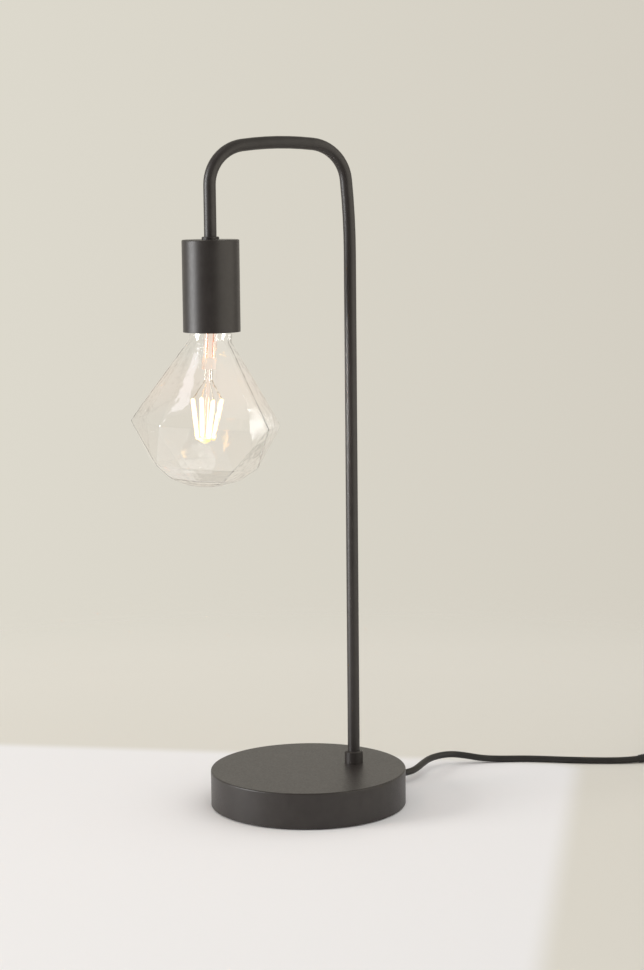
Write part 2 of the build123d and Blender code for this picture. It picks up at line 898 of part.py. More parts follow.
with BuildPart() as bulb_stem:
    with BuildSketch(glass_axis):
        with BuildLine():
            outer_foot = (stem_dia / 2, -stem_straight_depth)
            outer_lip = (stem_flare_dia / 2, stem_flare_height)
            inner_foot = (stem_dia / 2 - stem_wall, -stem_straight_depth)
            inner_lip = (stem_flare_dia / 2 - stem_wall, stem_flare_height)
            TangentArc(outer_foot, outer_lip, tangent=(0, 1))
            Line(outer_lip, inner_lip)
            TangentArc(inner_foot, inner_lip, tangent=(0, 1))
            Polyline(inner_foot, (inner_foot[0], -pinch_depth), (outer_foot[0], -pinch_depth), outer_foot)
        make_face()
    revolve(axis=Axis(glass_axis.origin, glass_axis.y_dir))
    with BuildSketch(Plane(origin=in_bulb(0, 0, pinch_depth), x_dir=glass_side, z_dir=-glass_up)):
        Rectangle(pinch_width, pinch_thick)
    extrude(amount=pinch_length)
    rod(in_bulb(0, 0, pinch_depth + pinch_length), in_bulb(0, 0, rod_end_depth), rod_dia / 2)
keep(bulb_stem, "bulb_stem")

with BuildPart() as bulb_leads:
    lead_top = running_gap - board_low
    for turn in (0, 180):
        rod(in_bulb(lead_offset, turn, lead_top), in_bulb(lead_offset, turn, pinch_depth), lead_dia / 2)
keep(bulb_leads, "bulb_leads")

filament_turns = [filament_turn + 360 / filament_count * k for k in range(filament_count)]
with BuildPart() as bulb_filaments:
    for turn in filament_turns:
        rod(
            in_bulb(filament_top_radius, turn, filament_top_depth),
            in_bulb(filament_end_radius, turn, filament_end_depth),
            filament_dia / 2,
        )
keep(bulb_filaments, "bulb_filaments")

with BuildPart() as filament_wires:
    pinch_end = pinch_depth + pinch_length
    for turn in filament_turns:
        with BuildLine() as wire:
            FilletPolyline(
                in_bulb(filament_wire_root, turn, pinch_end),
                in_bulb(filament_wire_root + running_gap, turn, pinch_end + pinch_length),
                in_bulb(filament_top_radius - running_gap, turn, filament_top_depth - 2 * running_gap),
                radius=[pinch_length / 2],
            )
        swept(wire.line, filament_wire_dia / 2)
keep(filament_wires, "filament_wires")

with BuildPart() as filament_hub:
    with BuildSketch(Plane(origin=in_bulb(0, 0, rod_end_depth), x_dir=glass_side, z_dir=-glass_up)):
        Circle(filament_end_radius + hub_width / 2)
        Circle(filament_end_radius - hub_width / 2, mode=Mode.SUBTRACT)
        Circle(rod_dia / 2)
        with Locations(Rotation(0, 0, -filament_turn)):
            Rectangle(2 * filament_end_radius, hub_width)
            Rectangle(hub_width, 2 * filament_end_radius)
    extrude(amount=hub_thick)
keep(filament_hub, "filament_hub")


# Switch on the cord

heading = radians(cord_heading)
cord_way = Vector(cos(heading), sin(heading), 0)
switch_place = Plane(origin=(switch_x, switch_y, 0), x_dir=cord_way, z_dir=(0, 0, 1))
switch_inner_length = switch_length - 2 * switch_wall
switch_inner_width = switch_width - 2 * switch_wall
roof_under = switch_height - switch_floor
cover_screw_spots = [(switch_screw_x, switch_screw_y), (-switch_screw_x, -switch_screw_y)]


def in_switch(along, across, height):
    """A point of the switch, along and across its cord."""
    return switch_place.from_local_coords((along, across, height))


def housing_half(low, high, inner_low, inner_high):
    """Half of the switch's housing, with its cord's half holes at both ends."""
    with BuildSketch(switch_place.offset(low)) as outside:
        RectangleRounded(switch_length, switch_width, switch_corner)
    extrude(outside.sketch, amount=high - low)
    with BuildSketch(switch_place.offset(inner_low)) as inside:
        RectangleRounded(switch_inner_length, switch_inner_width, switch_corner - switch_wall)
    extrude(inside.sketch, amount=inner_high - inner_low, mode=Mode.SUBTRACT)
    rod(in_switch(-switch_length, 0, switch_split), in_switch(switch_length, 0, switch_split), cord_bore,
        mode=Mode.SUBTRACT)


with BuildPart() as switch_base:
    housing_half(0, switch_split, switch_floor, switch_split)
    for along, across in cover_screw_spots:
        rod(in_switch(along, across, 0), in_switch(along, across, switch_split), switch_boss_dia / 2)
        rod(in_switch(along, across, 0), in_switch(along, across, switch_split), switch_screw_dia / 2 + slip,
            mode=Mode.SUBTRACT)
        rod(in_switch(along, across, 0), in_switch(along, across, switch_screw_head_height + running_gap),
            switch_screw_head_dia / 2 + slip, mode=Mode.SUBTRACT)
keep(switch_base, "switch_base")

with BuildPart() as switch_cover:
    with BuildSketch(switch_place.offset(switch_split)):
        RectangleRounded(switch_length, switch_width, switch_corner)
    extrude(amount=switch_height - switch_split)
    fillet(switch_cover.faces().sort_by(Axis.Z)[-1].edges(), switch_top_round)
    with BuildSketch(switch_place.offset(switch_split)):
        RectangleRounded(switch_inner_length, switch_inner_width, switch_corner - switch_wall)
    extrude(amount=roof_under - switch_split, mode=Mode.SUBTRACT)
    rib_middle = rocker_width / 2 + rocker_gap + rib_thick / 2
    with BuildSketch(switch_place.offset(roof_under - rib_drop)):
        with Locations((0, rib_middle), (0, -rib_middle)):
            Rectangle(rib_length, rib_thick)
    extrude(amount=rib_drop)
    with BuildSketch(switch_place.offset(switch_split)):
        with Locations(*cover_screw_spots):
            Circle(switch_boss_dia / 2)
    extrude(amount=roof_under - switch_split)
    with BuildSketch(switch_place.offset(switch_split)):
        with Locations(*cover_screw_spots):
            Circle(switch_screw_dia / 2 + slip)
    extrude(amount=switch_screw_length - switch_split + 2 * running_gap, mode=Mode.SUBTRACT)
    with BuildSketch(switch_place.offset(roof_under)):
        Rectangle(rocker_opening, rocker_width + 2 * rocker_gap)
    extrude(amount=switch_floor, mode=Mode.SUBTRACT)
    rod(in_switch(0, -switch_inner_width / 2, rocker_pivot_height),
        in_switch(0, switch_inner_width / 2, rocker_pivot_height), rocker_pivot_dia / 2 + slip,
        mode=Mode.SUBTRACT)
    rod(in_switch(-switch_length, 0, switch_split), in_switch(switch_length, 0, switch_split), cord_bore,
        mode=Mode.SUBTRACT)
keep(switch_cover, "switch_cover")

# The rocker is pressed down at its far end, which is on
rocker_middle = in_switch(0, 0, rocker_pivot_height)
rocker_way = cord_way * cos(radians(rocker_tilt)) - Vector(0, 0, sin(radians(rocker_tilt)))
rocker_place = Plane(origin=rocker_middle, x_dir=rocker_way, z_dir=-switch_place.y_dir)
with BuildPart() as switch_rocker:
    half = rocker_length / 2
    with BuildSketch(rocker_place):
        with BuildLine():
            Polyline(
                (-half, 0),
                (-half, rocker_rise),
                (0, rocker_rise - rocker_dip),
                (half, rocker_rise),
                (half, 0),
                (rocker_pivot_dia, -rocker_reach),
                (-rocker_pivot_dia, -rocker_reach),
                close=True,
            )
        make_face()
    extrude(amount=rocker_width / 2, both=True)
    fillet(switch_rocker.edges().group_by(Axis(rocker_middle, rocker_place.y_dir))[-1], rocker_gap)
    rod(in_switch(0, -rib_middle - rib_thick / 2, rocker_pivot_height),
        in_switch(0, rib_middle + rib_thick / 2, rocker_pivot_height), rocker_pivot_dia / 2)
keep(switch_rocker, "switch_rocker")

with BuildPart() as switch_contacts:
    with BuildSketch(switch_place.offset(switch_floor)):
        with Locations((contact_block_offset, 0), (-contact_block_offset, 0)):
            Rectangle(contact_block_length, contact_block_width)
    extrude(amount=contact_block_top - switch_floor)
keep(switch_contacts, "switch_contacts")

with BuildPart() as switch_bridge:
    with BuildSketch(switch_place.offset(contact_block_top)):
        Rectangle(2 * contact_block_offset + contact_block_length, bridge_width)
    extrude(amount=bridge_thick)
keep(switch_bridge, "switch_bridge")

contact_block_end = contact_block_offset + contact_block_length / 2
sheath_stop = contact_block_end + core_room
neutral_detour_end = contact_block_end + neutral_clearance
neutral_turn_out = neutral_detour_end + neutral_step
core_low = switch_split - core_spread / 2
with BuildPart() as switch_live_cores:
    for side in (-1, 1):
        rod(in_switch(side * sheath_stop, -core_spread, core_low),
            in_switch(side * contact_block_end, -core_spread, core_low),
            core_dia / 2)
keep(switch_live_cores, "switch_live_cores")

with BuildPart() as switch_neutral_core:
    with BuildLine() as neutral_way:
        FilletPolyline(
            in_switch(-sheath_stop, core_spread, core_low),
            in_switch(-neutral_turn_out, core_spread, core_low),
            in_switch(-neutral_detour_end, neutral_detour, neutral_sink),
            in_switch(neutral_detour_end, neutral_detour, neutral_sink),
            in_switch(neutral_turn_out, core_spread, core_low),
            in_switch(sheath_stop, core_spread, core_low),
            radius=[core_bend] * 4,
        )
    swept(neutral_way.line, core_dia / 2)
keep(switch_neutral_core, "switch_neutral_core")

with BuildPart() as switch_cord_ends:
    for side in (-1, 1):
        rod(in_switch(side * switch_length / 2, 0, switch_split),
            in_switch(side * sheath_stop, 0, switch_split), cord_radius)
keep(switch_cord_ends, "switch_cord_ends")

grip_middle = (sheath_stop + switch_inner_length / 2) / 2
with BuildPart() as switch_grips:
    with BuildSketch(switch_place.offset(switch_split + cord_bore)):
        with Locations((grip_middle, 0), (-grip_middle, 0)):
            Rectangle(grip_length, grip_width)
    extrude(amount=grip_thick)
keep(switch_grips, "switch_grips")

with BuildPart() as switch_screws:
    for along, across in cover_screw_spots:
        rod(in_switch(along, across, running_gap), in_switch(along, across, switch_screw_length),
            switch_screw_dia / 2)
        rod(in_switch(along, across, running_gap),
            in_switch(along, across, running_gap + switch_screw_head_height), switch_screw_head_dia / 2)
        with BuildSketch(Plane(origin=in_switch(along, across, running_gap), x_dir=cord_way, z_dir=(0, 0, 1))):
            Rectangle(driver_slot, switch_screw_head_dia)
        extrude(amount=driver_slot_depth, mode=Mode.SUBTRACT)
keep(switch_screws, "switch_screws")


# Cord: the lead to the switch, the run to the coil, the coil and its tail to the plug

def path_length(path):
    """The length of a path of lines and arcs."""
    return sum(edge.length for edge in path.edges())


def corner_radii(points):
    """The largest arcs that the runs allow: 0.45 of the shorter run over the tangent of half the turn."""
    radii = []
    for before, corner, after in zip(points, points[1:], points[2:]):
        run_in = corner - before
        run_out = after - corner
        half_turn = radians(run_in.get_angle(run_out)) / 2
        radii.append(0.45 * min(run_in.length, run_out.length) / tan(half_turn))
    return radii


def cord_stretch(name, points):
    """A stretch of cord along points chosen by hand; prints its radii and checks its volume."""
    radii = corner_radii(points)
    with BuildLine() as way:
        FilletPolyline(*points, radius=radii)
    with BuildPart() as stretch:
        swept(way.line, cord_radius)
    keep(stretch, name)
    length = path_length(way.line)
    share = stretch.part.volume / (pi * cord_radius**2 * length)
    print(name, "length", round(length, 1), "volume share", round(share, 4))
    print("  radii", [round(radius, 1) for radius in radii])
    return length


coil_middle = Vector(coil_x, coil_y, 0)
quarters = round(coil_turns * 4)


def coil_node(quarter):
    """Centre-line point and direction of the coil after so many quarter turns."""
    angle = heading + quarter * pi / 2
    outward = Vector(cos(angle), sin(angle), 0)
    onward = Vector(-sin(angle), cos(angle), 0)
    past_middle = quarter / 4 - coil_turns / 2
    side = 1 if past_middle > 0 else -1
    beyond_climb = abs(past_middle) - climb_turns / 2
    if beyond_climb < 0:
        radius = coil_inner - climb_dip
        height = cord_radius + coil_pitch / 2
        direction = onward + Vector(0, 0, climb_slope)
    else:
        radius = coil_inner + coil_pitch * beyond_climb
        height = cord_radius + coil_pitch * (side + 1) / 2
        direction = onward * radius + outward * (side * coil_pitch / (2 * pi))
    return coil_middle + outward * radius + Vector(0, 0, height), direction.normalized()


def biarc(start, start_way, end, end_way):
    """Two arcs, tangent to each other and to both directions."""
    chord = end - start
    both = chord.dot(start_way + end_way)
    spread = 2 * (1 - start_way.dot(end_way))
    reach = (sqrt(both**2 + spread * chord.dot(chord)) - both) / spread
    before = start + start_way * reach
    after = end - end_way * reach
    meeting = (before + after) / 2
    first = TangentArc(start, meeting, tangent=start_way)
    second = TangentArc(meeting, end, tangent=(after - before).normalized())
    return [first, second]


coil_nodes = [coil_node(quarter) for quarter in range(quarters + 1)]
coil_entry, entry_way = coil_nodes[0]
coil_exit, exit_direction = coil_nodes[-1]
coil_start = coil_entry - entry_way * cord_dia
coil_end = coil_exit + exit_direction * cord_dia
with BuildLine() as coil_path:
    coil_arcs = [Line(coil_start, coil_entry)]
    for (start, start_way), (end, end_way) in zip(coil_nodes, coil_nodes[1:]):
        coil_arcs += biarc(start, start_way, end, end_way)
    coil_arcs.append(Line(coil_exit, coil_end))
with BuildPart() as cord_coil:
    swept(coil_path.line, cord_radius)
keep(cord_coil, "cord_coil")


def least_gap(arcs, steps=10):
    """The least gap of the coil to itself, between points more than a third of a turn apart."""
    points = [arc @ (k / steps) for arc in arcs for k in range(steps)]
    apart = round(len(points) / coil_turns / 3)
    nearest = min(
        (points[i] - points[j]).length for i in range(len(points)) for j in range(i + apart, len(points))
    )
    return nearest - cord_dia


coil_length = path_length(coil_path.line)
print("cord_coil length", round(coil_length, 1), "least gap", round(least_gap(coil_arcs), 2))

switch_near = in_switch(-switch_length / 2, 0, switch_split)
switch_far = in_switch(switch_length / 2, 0, switch_split)
lead_points = [
    exit_point,
    exit_point + exit_way * cord_straight_out,
    Vector(112.5, 32.0, 9.0),
    Vector(122.5, 43.0, 9.3),
    Vector(133.5, 54.5, 9.5),
    Vector(146.0, 62.0, 9.5),
    Vector(160.0, 64.0, 9.3),
    Vector(173.0, 61.0, 7.2),
    Vector(187.0, 56.5, 4.2),
    Vector(203.0, 53.0, cord_radius),
    Vector(226.0, 44.5, cord_radius),
    Vector(252.0, 28.5, cord_radius),
    Vector(280.0, 13.0, cord_radius),
    Vector(305.0, 3.5, cord_radius),
    Vector(324.0, -0.2, 4.6),
    switch_near - cord_way * cord_straight_out,
    switch_near,
]
run_points = [
    switch_far,
    switch_far + cord_way * cord_straight_out,
    Vector(424.3, -33.0, 5.6),
    Vector(435.6, -28.9, 4.2),
    Vector(446.3, -19.8, 3.2),
    coil_start - entry_way * coil_straight_in,
    coil_start,
]
plug_way = Vector(exit_direction.X, exit_direction.Y, 0).normalized()
tail_low = coil_end + exit_direction * tail_drop_run
tail_low.Z = plug_thick / 2
tail_points = [
    coil_end,
    coil_end + exit_direction * tail_straight_out,
    tail_low,
    tail_low + plug_way * tail_straight_out,
]
print("coil starts at", coil_start, "and ends at", coil_end)
lead_length = cord_stretch("cord_lead", lead_points)
run_length = cord_stretch("cord_run", run_points)
tail_length = cord_stretch("cord_tail", tail_points)
free_length = lead_length + switch_length + run_length + coil_length + tail_length + plug_back
print("free cord in all", round(free_length, 1))


# Plug

plug_root = Vector(tail_points[-1].X, tail_points[-1].Y, 0)
plug_place = Plane(origin=plug_root, x_dir=plug_way, z_dir=(0, 0, 1))
pin_height = plug_thick / 2


def in_plug(along, across, height=pin_height):
    """A point of the plug, along and across its cord."""
    return plug_place.from_local_coords((along, across, height))


with BuildPart() as plug_body:
    half_width = plug_width / 2
    half_back = plug_back_width / 2
    with BuildSketch(plug_place):
        with BuildLine():
            Polyline(
                (plug_back, -half_back),
                (plug_shoulder, -half_width),
                (plug_face, -half_width),
                (plug_face, half_width),
                (plug_shoulder, half_width),
                (plug_back, half_back),
                close=True,
            )
        make_face()
    extrude(amount=plug_thick)
    fillet(plug_body.edges().filter_by(Axis.Z), plug_round)
    fillet(plug_body.faces().filter_by(Axis.Z).edges(), plug_round / 2)
    relief_axis = Plane(origin=in_plug(0, 0), x_dir=(0, 0, 1), z_dir=plug_place.y_dir)
    turned(
        relief_axis,
        (0, 0),
        (plug_relief_tip_dia / 2, 0),
        (plug_relief_root_dia / 2, plug_back + plug_round),
        (0, plug_back + plug_round),
    )
    for side in (-1, 1):
        rod(in_plug(plug_face - pin_seat, side * pin_spacing / 2), in_plug(plug_face, side * pin_spacing / 2),
            pin_dia / 2, mode=Mode.SUBTRACT)
keep(plug_body, "plug_body")

with BuildPart() as plug_pins:
    sleeve_end = plug_face + sleeve_length
    for side in (-1, 1):
        across = side * pin_spacing / 2
        rod(in_plug(plug_face - pin_seat, across), in_plug(plug_face, across), pin_dia / 2)
        rod(in_plug(plug_face, across), in_plug(sleeve_end, across), pin_core_dia / 2)
        rod(in_plug(sleeve_end, across), in_plug(plug_face + pin_length, across), pin_dia / 2)
    fillet(plug_pins.edges().group_by(Axis(plug_root, plug_way))[-1], pin_tip_round)
keep(plug_pins, "plug_pins")

with BuildPart() as plug_sleeves:
    for side in (-1, 1):
        across = side * pin_spacing / 2
        rod(in_plug(plug_face, across), in_plug(sleeve_end, across), pin_dia / 2)
        rod(in_plug(plug_face, across), in_plug(sleeve_end, across), pin_core_dia / 2, mode=Mode.SUBTRACT)
keep(plug_sleeves, "plug_sleeves")
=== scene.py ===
import bmesh
import bpy
import json
from math import atan2, cos, degrees, radians, sin
from mathutils import Euler, Matrix, Vector


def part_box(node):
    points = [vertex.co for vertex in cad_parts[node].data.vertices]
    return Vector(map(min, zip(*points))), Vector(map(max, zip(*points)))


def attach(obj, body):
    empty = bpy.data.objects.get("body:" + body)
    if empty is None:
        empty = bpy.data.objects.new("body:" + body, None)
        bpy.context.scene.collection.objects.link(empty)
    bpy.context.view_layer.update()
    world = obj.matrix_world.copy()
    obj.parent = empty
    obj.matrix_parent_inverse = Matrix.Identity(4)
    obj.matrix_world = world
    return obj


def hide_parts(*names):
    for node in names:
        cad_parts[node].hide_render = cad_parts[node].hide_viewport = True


# A black table lamp with a bent tube arm and a faceted clear bulb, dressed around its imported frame.
# Lengths are written in millimetres, and made metres by mm, unless it says metres. Angles are in
# degrees.

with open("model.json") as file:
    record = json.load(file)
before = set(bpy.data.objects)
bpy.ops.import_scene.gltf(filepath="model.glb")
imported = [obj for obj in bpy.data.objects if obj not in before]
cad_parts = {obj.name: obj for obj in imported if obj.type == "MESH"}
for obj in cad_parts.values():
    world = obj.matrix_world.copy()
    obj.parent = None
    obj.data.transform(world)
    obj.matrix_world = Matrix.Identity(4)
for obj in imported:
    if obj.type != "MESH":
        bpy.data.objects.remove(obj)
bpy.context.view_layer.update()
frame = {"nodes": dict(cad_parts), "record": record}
nodes = frame["nodes"]
subparts = frame["record"]["subparts"]
mm = 0.001


def new_object(name, data):
    """An object in the scene, at the origin."""
    made = bpy.data.objects.new(name, data)
    bpy.context.scene.collection.objects.link(made)
    return made


def direction(turn, rise=0.0):
    """The direction so many degrees round from X and so many above level."""
    level = cos(radians(rise))
    return Vector((cos(radians(turn)) * level, sin(radians(turn)) * level, sin(radians(rise))))


def smooth_step(value, low, high):
    """0 below low, 1 above high and an even rise between."""
    share = min(max((value - low) / (high - low), 0), 1)
    return share * share * (3 - 2 * share)


# Camera, where the picture was taken from. Its focal length is in the picture's own pixels.
picture_height = 970.0
focal_length = 2200.0
camera_place = Vector((-634.7, -1665.7, 510.0))
camera_pitch = 7.765
camera_heading = -21.3
camera_roll = -0.56
lens = bpy.data.cameras.new("camera")
lens.lens = focal_length / picture_height * lens.sensor_width
camera = new_object("camera", lens)
camera.location = camera_place * mm
level_aim = Euler((radians(90 - camera_pitch), 0, radians(camera_heading))).to_matrix()
camera.rotation_euler = (level_aim @ Matrix.Rotation(radians(camera_roll), 3, "Z")).to_euler()
bpy.context.scene.camera = camera
bpy.context.scene.view_settings.view_transform = "Standard"

# The bulb's glass hangs from the middle of its cap's lower rim, on an axis that leans a little. The
# middle of the filaments is on that axis.
cap_low, cap_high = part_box("bulb_cap")
glass_root = Vector(((cap_low[0] + cap_high[0]) / 2, 0, cap_low[2])) / mm
glass_tilt = 4.0
glass_side = direction(0, -glass_tilt)
glass_up = direction(0, 90 - glass_tilt)
filament_depth = 83.0
filament_middle = (glass_root - glass_up * filament_depth) * mm


# Materials, all kept in finishes by their names

finishes = {}


def srgb(text):
    """A colour written as #rrggbb, as the linear values that a shader takes."""
    shares = [int(text[k:k + 2], 16) / 255 for k in (1, 3, 5)]
    return (*[s / 12.92 if s <= 0.04045 else ((s + 0.055) / 1.055) ** 2.4 for s in shares], 1.0)


def add_node(tree, kind, inputs=(), **settings):
    """Adds a node with its settings; an input is a value or the socket that feeds it."""
    node = tree.nodes.new(kind)
    for name, value in settings.items():
        setattr(node, name, value)
    for name, value in dict(inputs).items():
        if isinstance(value, bpy.types.NodeSocket):
            tree.links.new(value, node.inputs[name])
        else:
            node.inputs[name].default_value = value
    return node


def new_material(name):
    """The empty node tree of a new material."""
    material = bpy.data.materials.new(name)
    material.use_nodes = True
    material.node_tree.nodes.clear()
    finishes[name] = material
    return material.node_tree


def per_mm(size):
    """The scale at which a pattern repeats about once in so many millimetres."""
    return 1 / (size * mm)


def cloud(tree, place, size, detail=2.0):
    """An uneven pattern from 0 to 1 whose patches are about so many millimetres wide."""
    noise = add_node(tree, "ShaderNodeTexNoise", {"Vector": place, "Scale": per_mm(size), "Detail": detail})
    even = add_node(tree, "ShaderNodeMapRange", {
        "Value": noise.outputs["Fac"], "From Min": 0.3, "From Max": 0.7, "To Min": 0.0, "To Max": 1.0,
    })
    return even.outputs["Result"]


def finish(name, light, dark, patch, gloss, grain, relief, stretch=(1, 1, 1), **shader):
    """A surface that varies between two colours in patches, between two roughnesses in grains, and
    has a relief of so many millimetres on those grains. Sizes are in millimetres."""
    tree = new_material(name)
    spot = add_node(tree, "ShaderNodeTexCoord").outputs["Object"]
    place = add_node(tree, "ShaderNodeMapping", {"Vector": spot, "Scale": stretch}).outputs["Vector"]
    colour = add_node(tree, "ShaderNodeMix", {
        0: cloud(tree, place, patch), 6: srgb(dark), 7: srgb(light),
    }, data_type="RGBA")
    grains = cloud(tree, place, grain)
    rough = add_node(tree, "ShaderNodeMapRange", {
        "Value": grains, "To Min": gloss[0], "To Max": gloss[1],
    })
    bump = add_node(tree, "ShaderNodeBump", {"Height": grains, "Distance": relief * mm, "Strength": 1.0})
    inputs = {
        "Base Color": colour.outputs[2], "Roughness": rough.outputs["Result"],
        "Normal": bump.outputs["Normal"],
    }
    skin = add_node(tree, "ShaderNodeBsdfPrincipled", {**inputs, **shader})
    add_node(tree, "ShaderNodeOutputMaterial", {"Surface": skin.outputs["BSDF"]})


def clear_glass(name, wave, height, near_glow, far_glow, near, far):
    """Clear glass that lets the light of lamps through, in waves of this width with this height. It has
    a faint painted glow for the filaments' light, in one colour up to the near distance from their
    middle and in another from the far one. Sizes are in millimetres."""
    tree = new_material(name)
    spot = add_node(tree, "ShaderNodeTexCoord").outputs["Object"]
    bump = add_node(tree, "ShaderNodeBump", {
        "Height": cloud(tree, spot, wave, detail=0.0), "Distance": height * mm, "Strength": 1.0,
    })
    # Painted glow: the glass is given a faint light of its own, in the near colour close to the filaments
    away = add_node(tree, "ShaderNodeVectorMath", {0: spot, 1: filament_middle}, operation="DISTANCE")
    dimmed = add_node(tree, "ShaderNodeMapRange", {
        "Value": away.outputs["Value"], "From Min": near * mm, "From Max": far * mm,
    }, interpolation_type="SMOOTHSTEP")
    painted_glow = add_node(tree, "ShaderNodeMix", {
        0: dimmed.outputs["Result"], 6: srgb(near_glow), 7: srgb(far_glow),
    }, data_type="RGBA")
    skin = add_node(tree, "ShaderNodeBsdfPrincipled", {
        "Base Color": srgb("#ffffff"), "Roughness": 0.0, "IOR": 1.5, "Transmission Weight": 1.0,
        "Normal": bump.outputs["Normal"], "Emission Color": painted_glow.outputs[2], "Emission Strength": 1.0,
    })
    through = add_node(tree, "ShaderNodeBsdfTransparent")
    rays = add_node(tree, "ShaderNodeLightPath")
    both = add_node(tree, "ShaderNodeMixShader", {
        0: rays.outputs["Is Shadow Ray"], 1: skin.outputs["BSDF"], 2: through.outputs["BSDF"],
    })
    add_node(tree, "ShaderNodeOutputMaterial", {"Surface": both.outputs["Shader"]})


# Polyester powder coat on steel, baked: an even anthracite black with a satin bloom and a very fine
# orange peel. The peel is drawn at 1.4 mm, about twice its real width, so that it shows.
finish(
    "powder_coat_black", "#302b28", "#2a2522", patch=9.0, gloss=(0.37, 0.46), grain=1.4, relief=0.006,
)
# Closed-cell EVA foam, die-cut: dull black with small cells
finish("foam_pad", "#2b2b2b", "#1f1f1f", patch=5.0, gloss=(0.85, 1.0), grain=1.2, relief=0.12)
# Zinc-plated steel, rolled sheet and turned parts: pale bluish metal with a soft drawn grain
finish(
    "zinc_steel", "#c9ccd1", "#a9adb4", patch=6.0, gloss=(0.28, 0.45), grain=0.8, relief=0.01,
    stretch=(1, 6, 1), Metallic=1.0,
)
# Grey cast iron, sand cast: dark, dull metal with a pebbled skin
finish(
    "cast_iron", "#4a4a4b", "#343435", patch=7.0, gloss=(0.6, 0.85), grain=1.5, relief=0.15, Metallic=1.0,
)
# Soft black PVC, extruded over the cord and moulded as plug, grommet and bush: low satin sheen
finish("cord_pvc", "#24211e", "#1c1917", patch=8.0, gloss=(0.45, 0.6), grain=1.1, relief=0.012)
# Black PBT, injection moulded: the even spark-eroded texture of a moulded bulb holder
finish("holder_plastic", "#262626", "#1d1d1d", patch=12.0, gloss=(0.4, 0.5), grain=0.9, relief=0.01)
# Glazed steatite: off-white ceramic under a thin clear glaze
finish(
    "holder_ceramic", "#efece2", "#e2ddd0", patch=4.0, gloss=(0.25, 0.4), grain=2.0, relief=0.02,
    **{"Coat Weight": 0.5},
)
# Brass sheet, stamped and drawn: warm yellow metal with faint drawing lines
finish(
    "brass", "#d9b868", "#c39d4e", patch=5.0, gloss=(0.22, 0.38), grain=0.7, relief=0.01,
    stretch=(1, 1, 8), Metallic=1.0,
)
# PVC core insulation, extruded: the brown of a live core
finish("live_core", "#7c4a2c", "#694024", patch=3.0, gloss=(0.35, 0.5), grain=0.8, relief=0.01)
# PVC core insulation, extruded: the blue of a neutral core
finish("neutral_core", "#2f6fbe", "#235aa0", patch=3.0, gloss=(0.35, 0.5), grain=0.8, relief=0.01)
# Nickel-plated brass, rolled thread: bright, slightly warm metal, fingermarked
finish(
    "bulb_metal", "#d6d2c9", "#c0bbb0", patch=6.0, gloss=(0.16, 0.34), grain=1.0, relief=0.008,
    Metallic=1.0,
)
# Vitrite: opaque black glass, poured and fire-polished
finish("black_glass", "#101013", "#08080a", patch=4.0, gloss=(0.05, 0.12), grain=2.0, relief=0.01)
# FR-4 board under green solder mask, with a cloth weave that just shows through
finish("circuit_board", "#2f7a45", "#215f33", patch=1.5, gloss=(0.25, 0.4), grain=0.6, relief=0.02)
# Soda-lime glass, blown in a mould: clear and colourless, its walls wave a little every 5 mm, with a faint
# painted glow near the filaments
clear_glass(
    "clear_glass", wave=5.0, height=0.04, near_glow="#2a1a10", far_glow="#0c0805", near=42.0, far=60.0,
)
# Black ABS, injection moulded: fine spark-eroded texture
finish("switch_plastic", "#262524", "#1e1d1c", patch=12.0, gloss=(0.38, 0.5), grain=0.9, relief=0.01)
# Nickel-plated brass pins, turned
finish(
    "pin_metal", "#d3d1c8", "#bdbab0", patch=4.0, gloss=(0.18, 0.32), grain=0.8, relief=0.006, Metallic=1.0,
)
# Black polyamide sleeves, moulded on the pins
finish("pin_sleeve", "#242424", "#1a1a1a", patch=6.0, gloss=(0.35, 0.5), grain=0.9, relief=0.008)
# Phosphor in clear silicone over light-emitting chips: yellow when off, here lit warm white
finish(
    "led_phosphor", "#ffcf70", "#f7b94e", patch=2.0, gloss=(0.4, 0.6), grain=0.6, relief=0.02,
    **{"Emission Color": srgb("#ffd9a0"), "Emission Strength": 4.0},
)
# Lead-free stem glass, pressed round its wires, with a painted glow for the filaments' light that runs up
# inside it
clear_glass(
    "stem_glass", wave=5.0, height=0.08, near_glow="#4a3022", far_glow="#3c261b", near=20.0, far=70.0,
)
# Clear silicone over the phosphor, which glows pale yellow round the white core
finish(
    "silicone_coat", "#ffe9b0", "#ffe2a0", patch=2.0, gloss=(0.35, 0.5), grain=0.8, relief=0.01,
    **{"Emission Color": srgb("#ffedbb"), "Emission Strength": 1.5, "Alpha": 0.5},
)
# The metal hub that joins the filaments' lower ends, with a painted glow for their light on it
finish(
    "lit_hub", "#f3dba0", "#e6c987", patch=2.0, gloss=(0.3, 0.45), grain=0.8, relief=0.01,
    **{"Emission Color": srgb("#ffe2a4"), "Emission Strength": 0.75},
)
# Dumet, the copper-clad wire that seals into glass: reddish copper metal
finish(
    "dumet_wire", "#c77a50", "#a9603c", patch=2.0, gloss=(0.25, 0.4), grain=0.6, relief=0.005,
    Metallic=1.0,
)

# Every node takes the finish of its slot, but for these, which have one of their own
own_finishes = {"bulb_leads": "dumet_wire", "bulb_stem": "stem_glass", "filament_hub": "lit_hub"}
for part in subparts:
    look = own_finishes.get(part["node"], part["material_slot"])
    for spot in nodes[part["node"]].material_slots:
        spot.material = finishes[look]


# Cord: the lead from the foot to the switch, then the run, the coil and the tail to the plug. The
# routes are the control points of smooth splines.

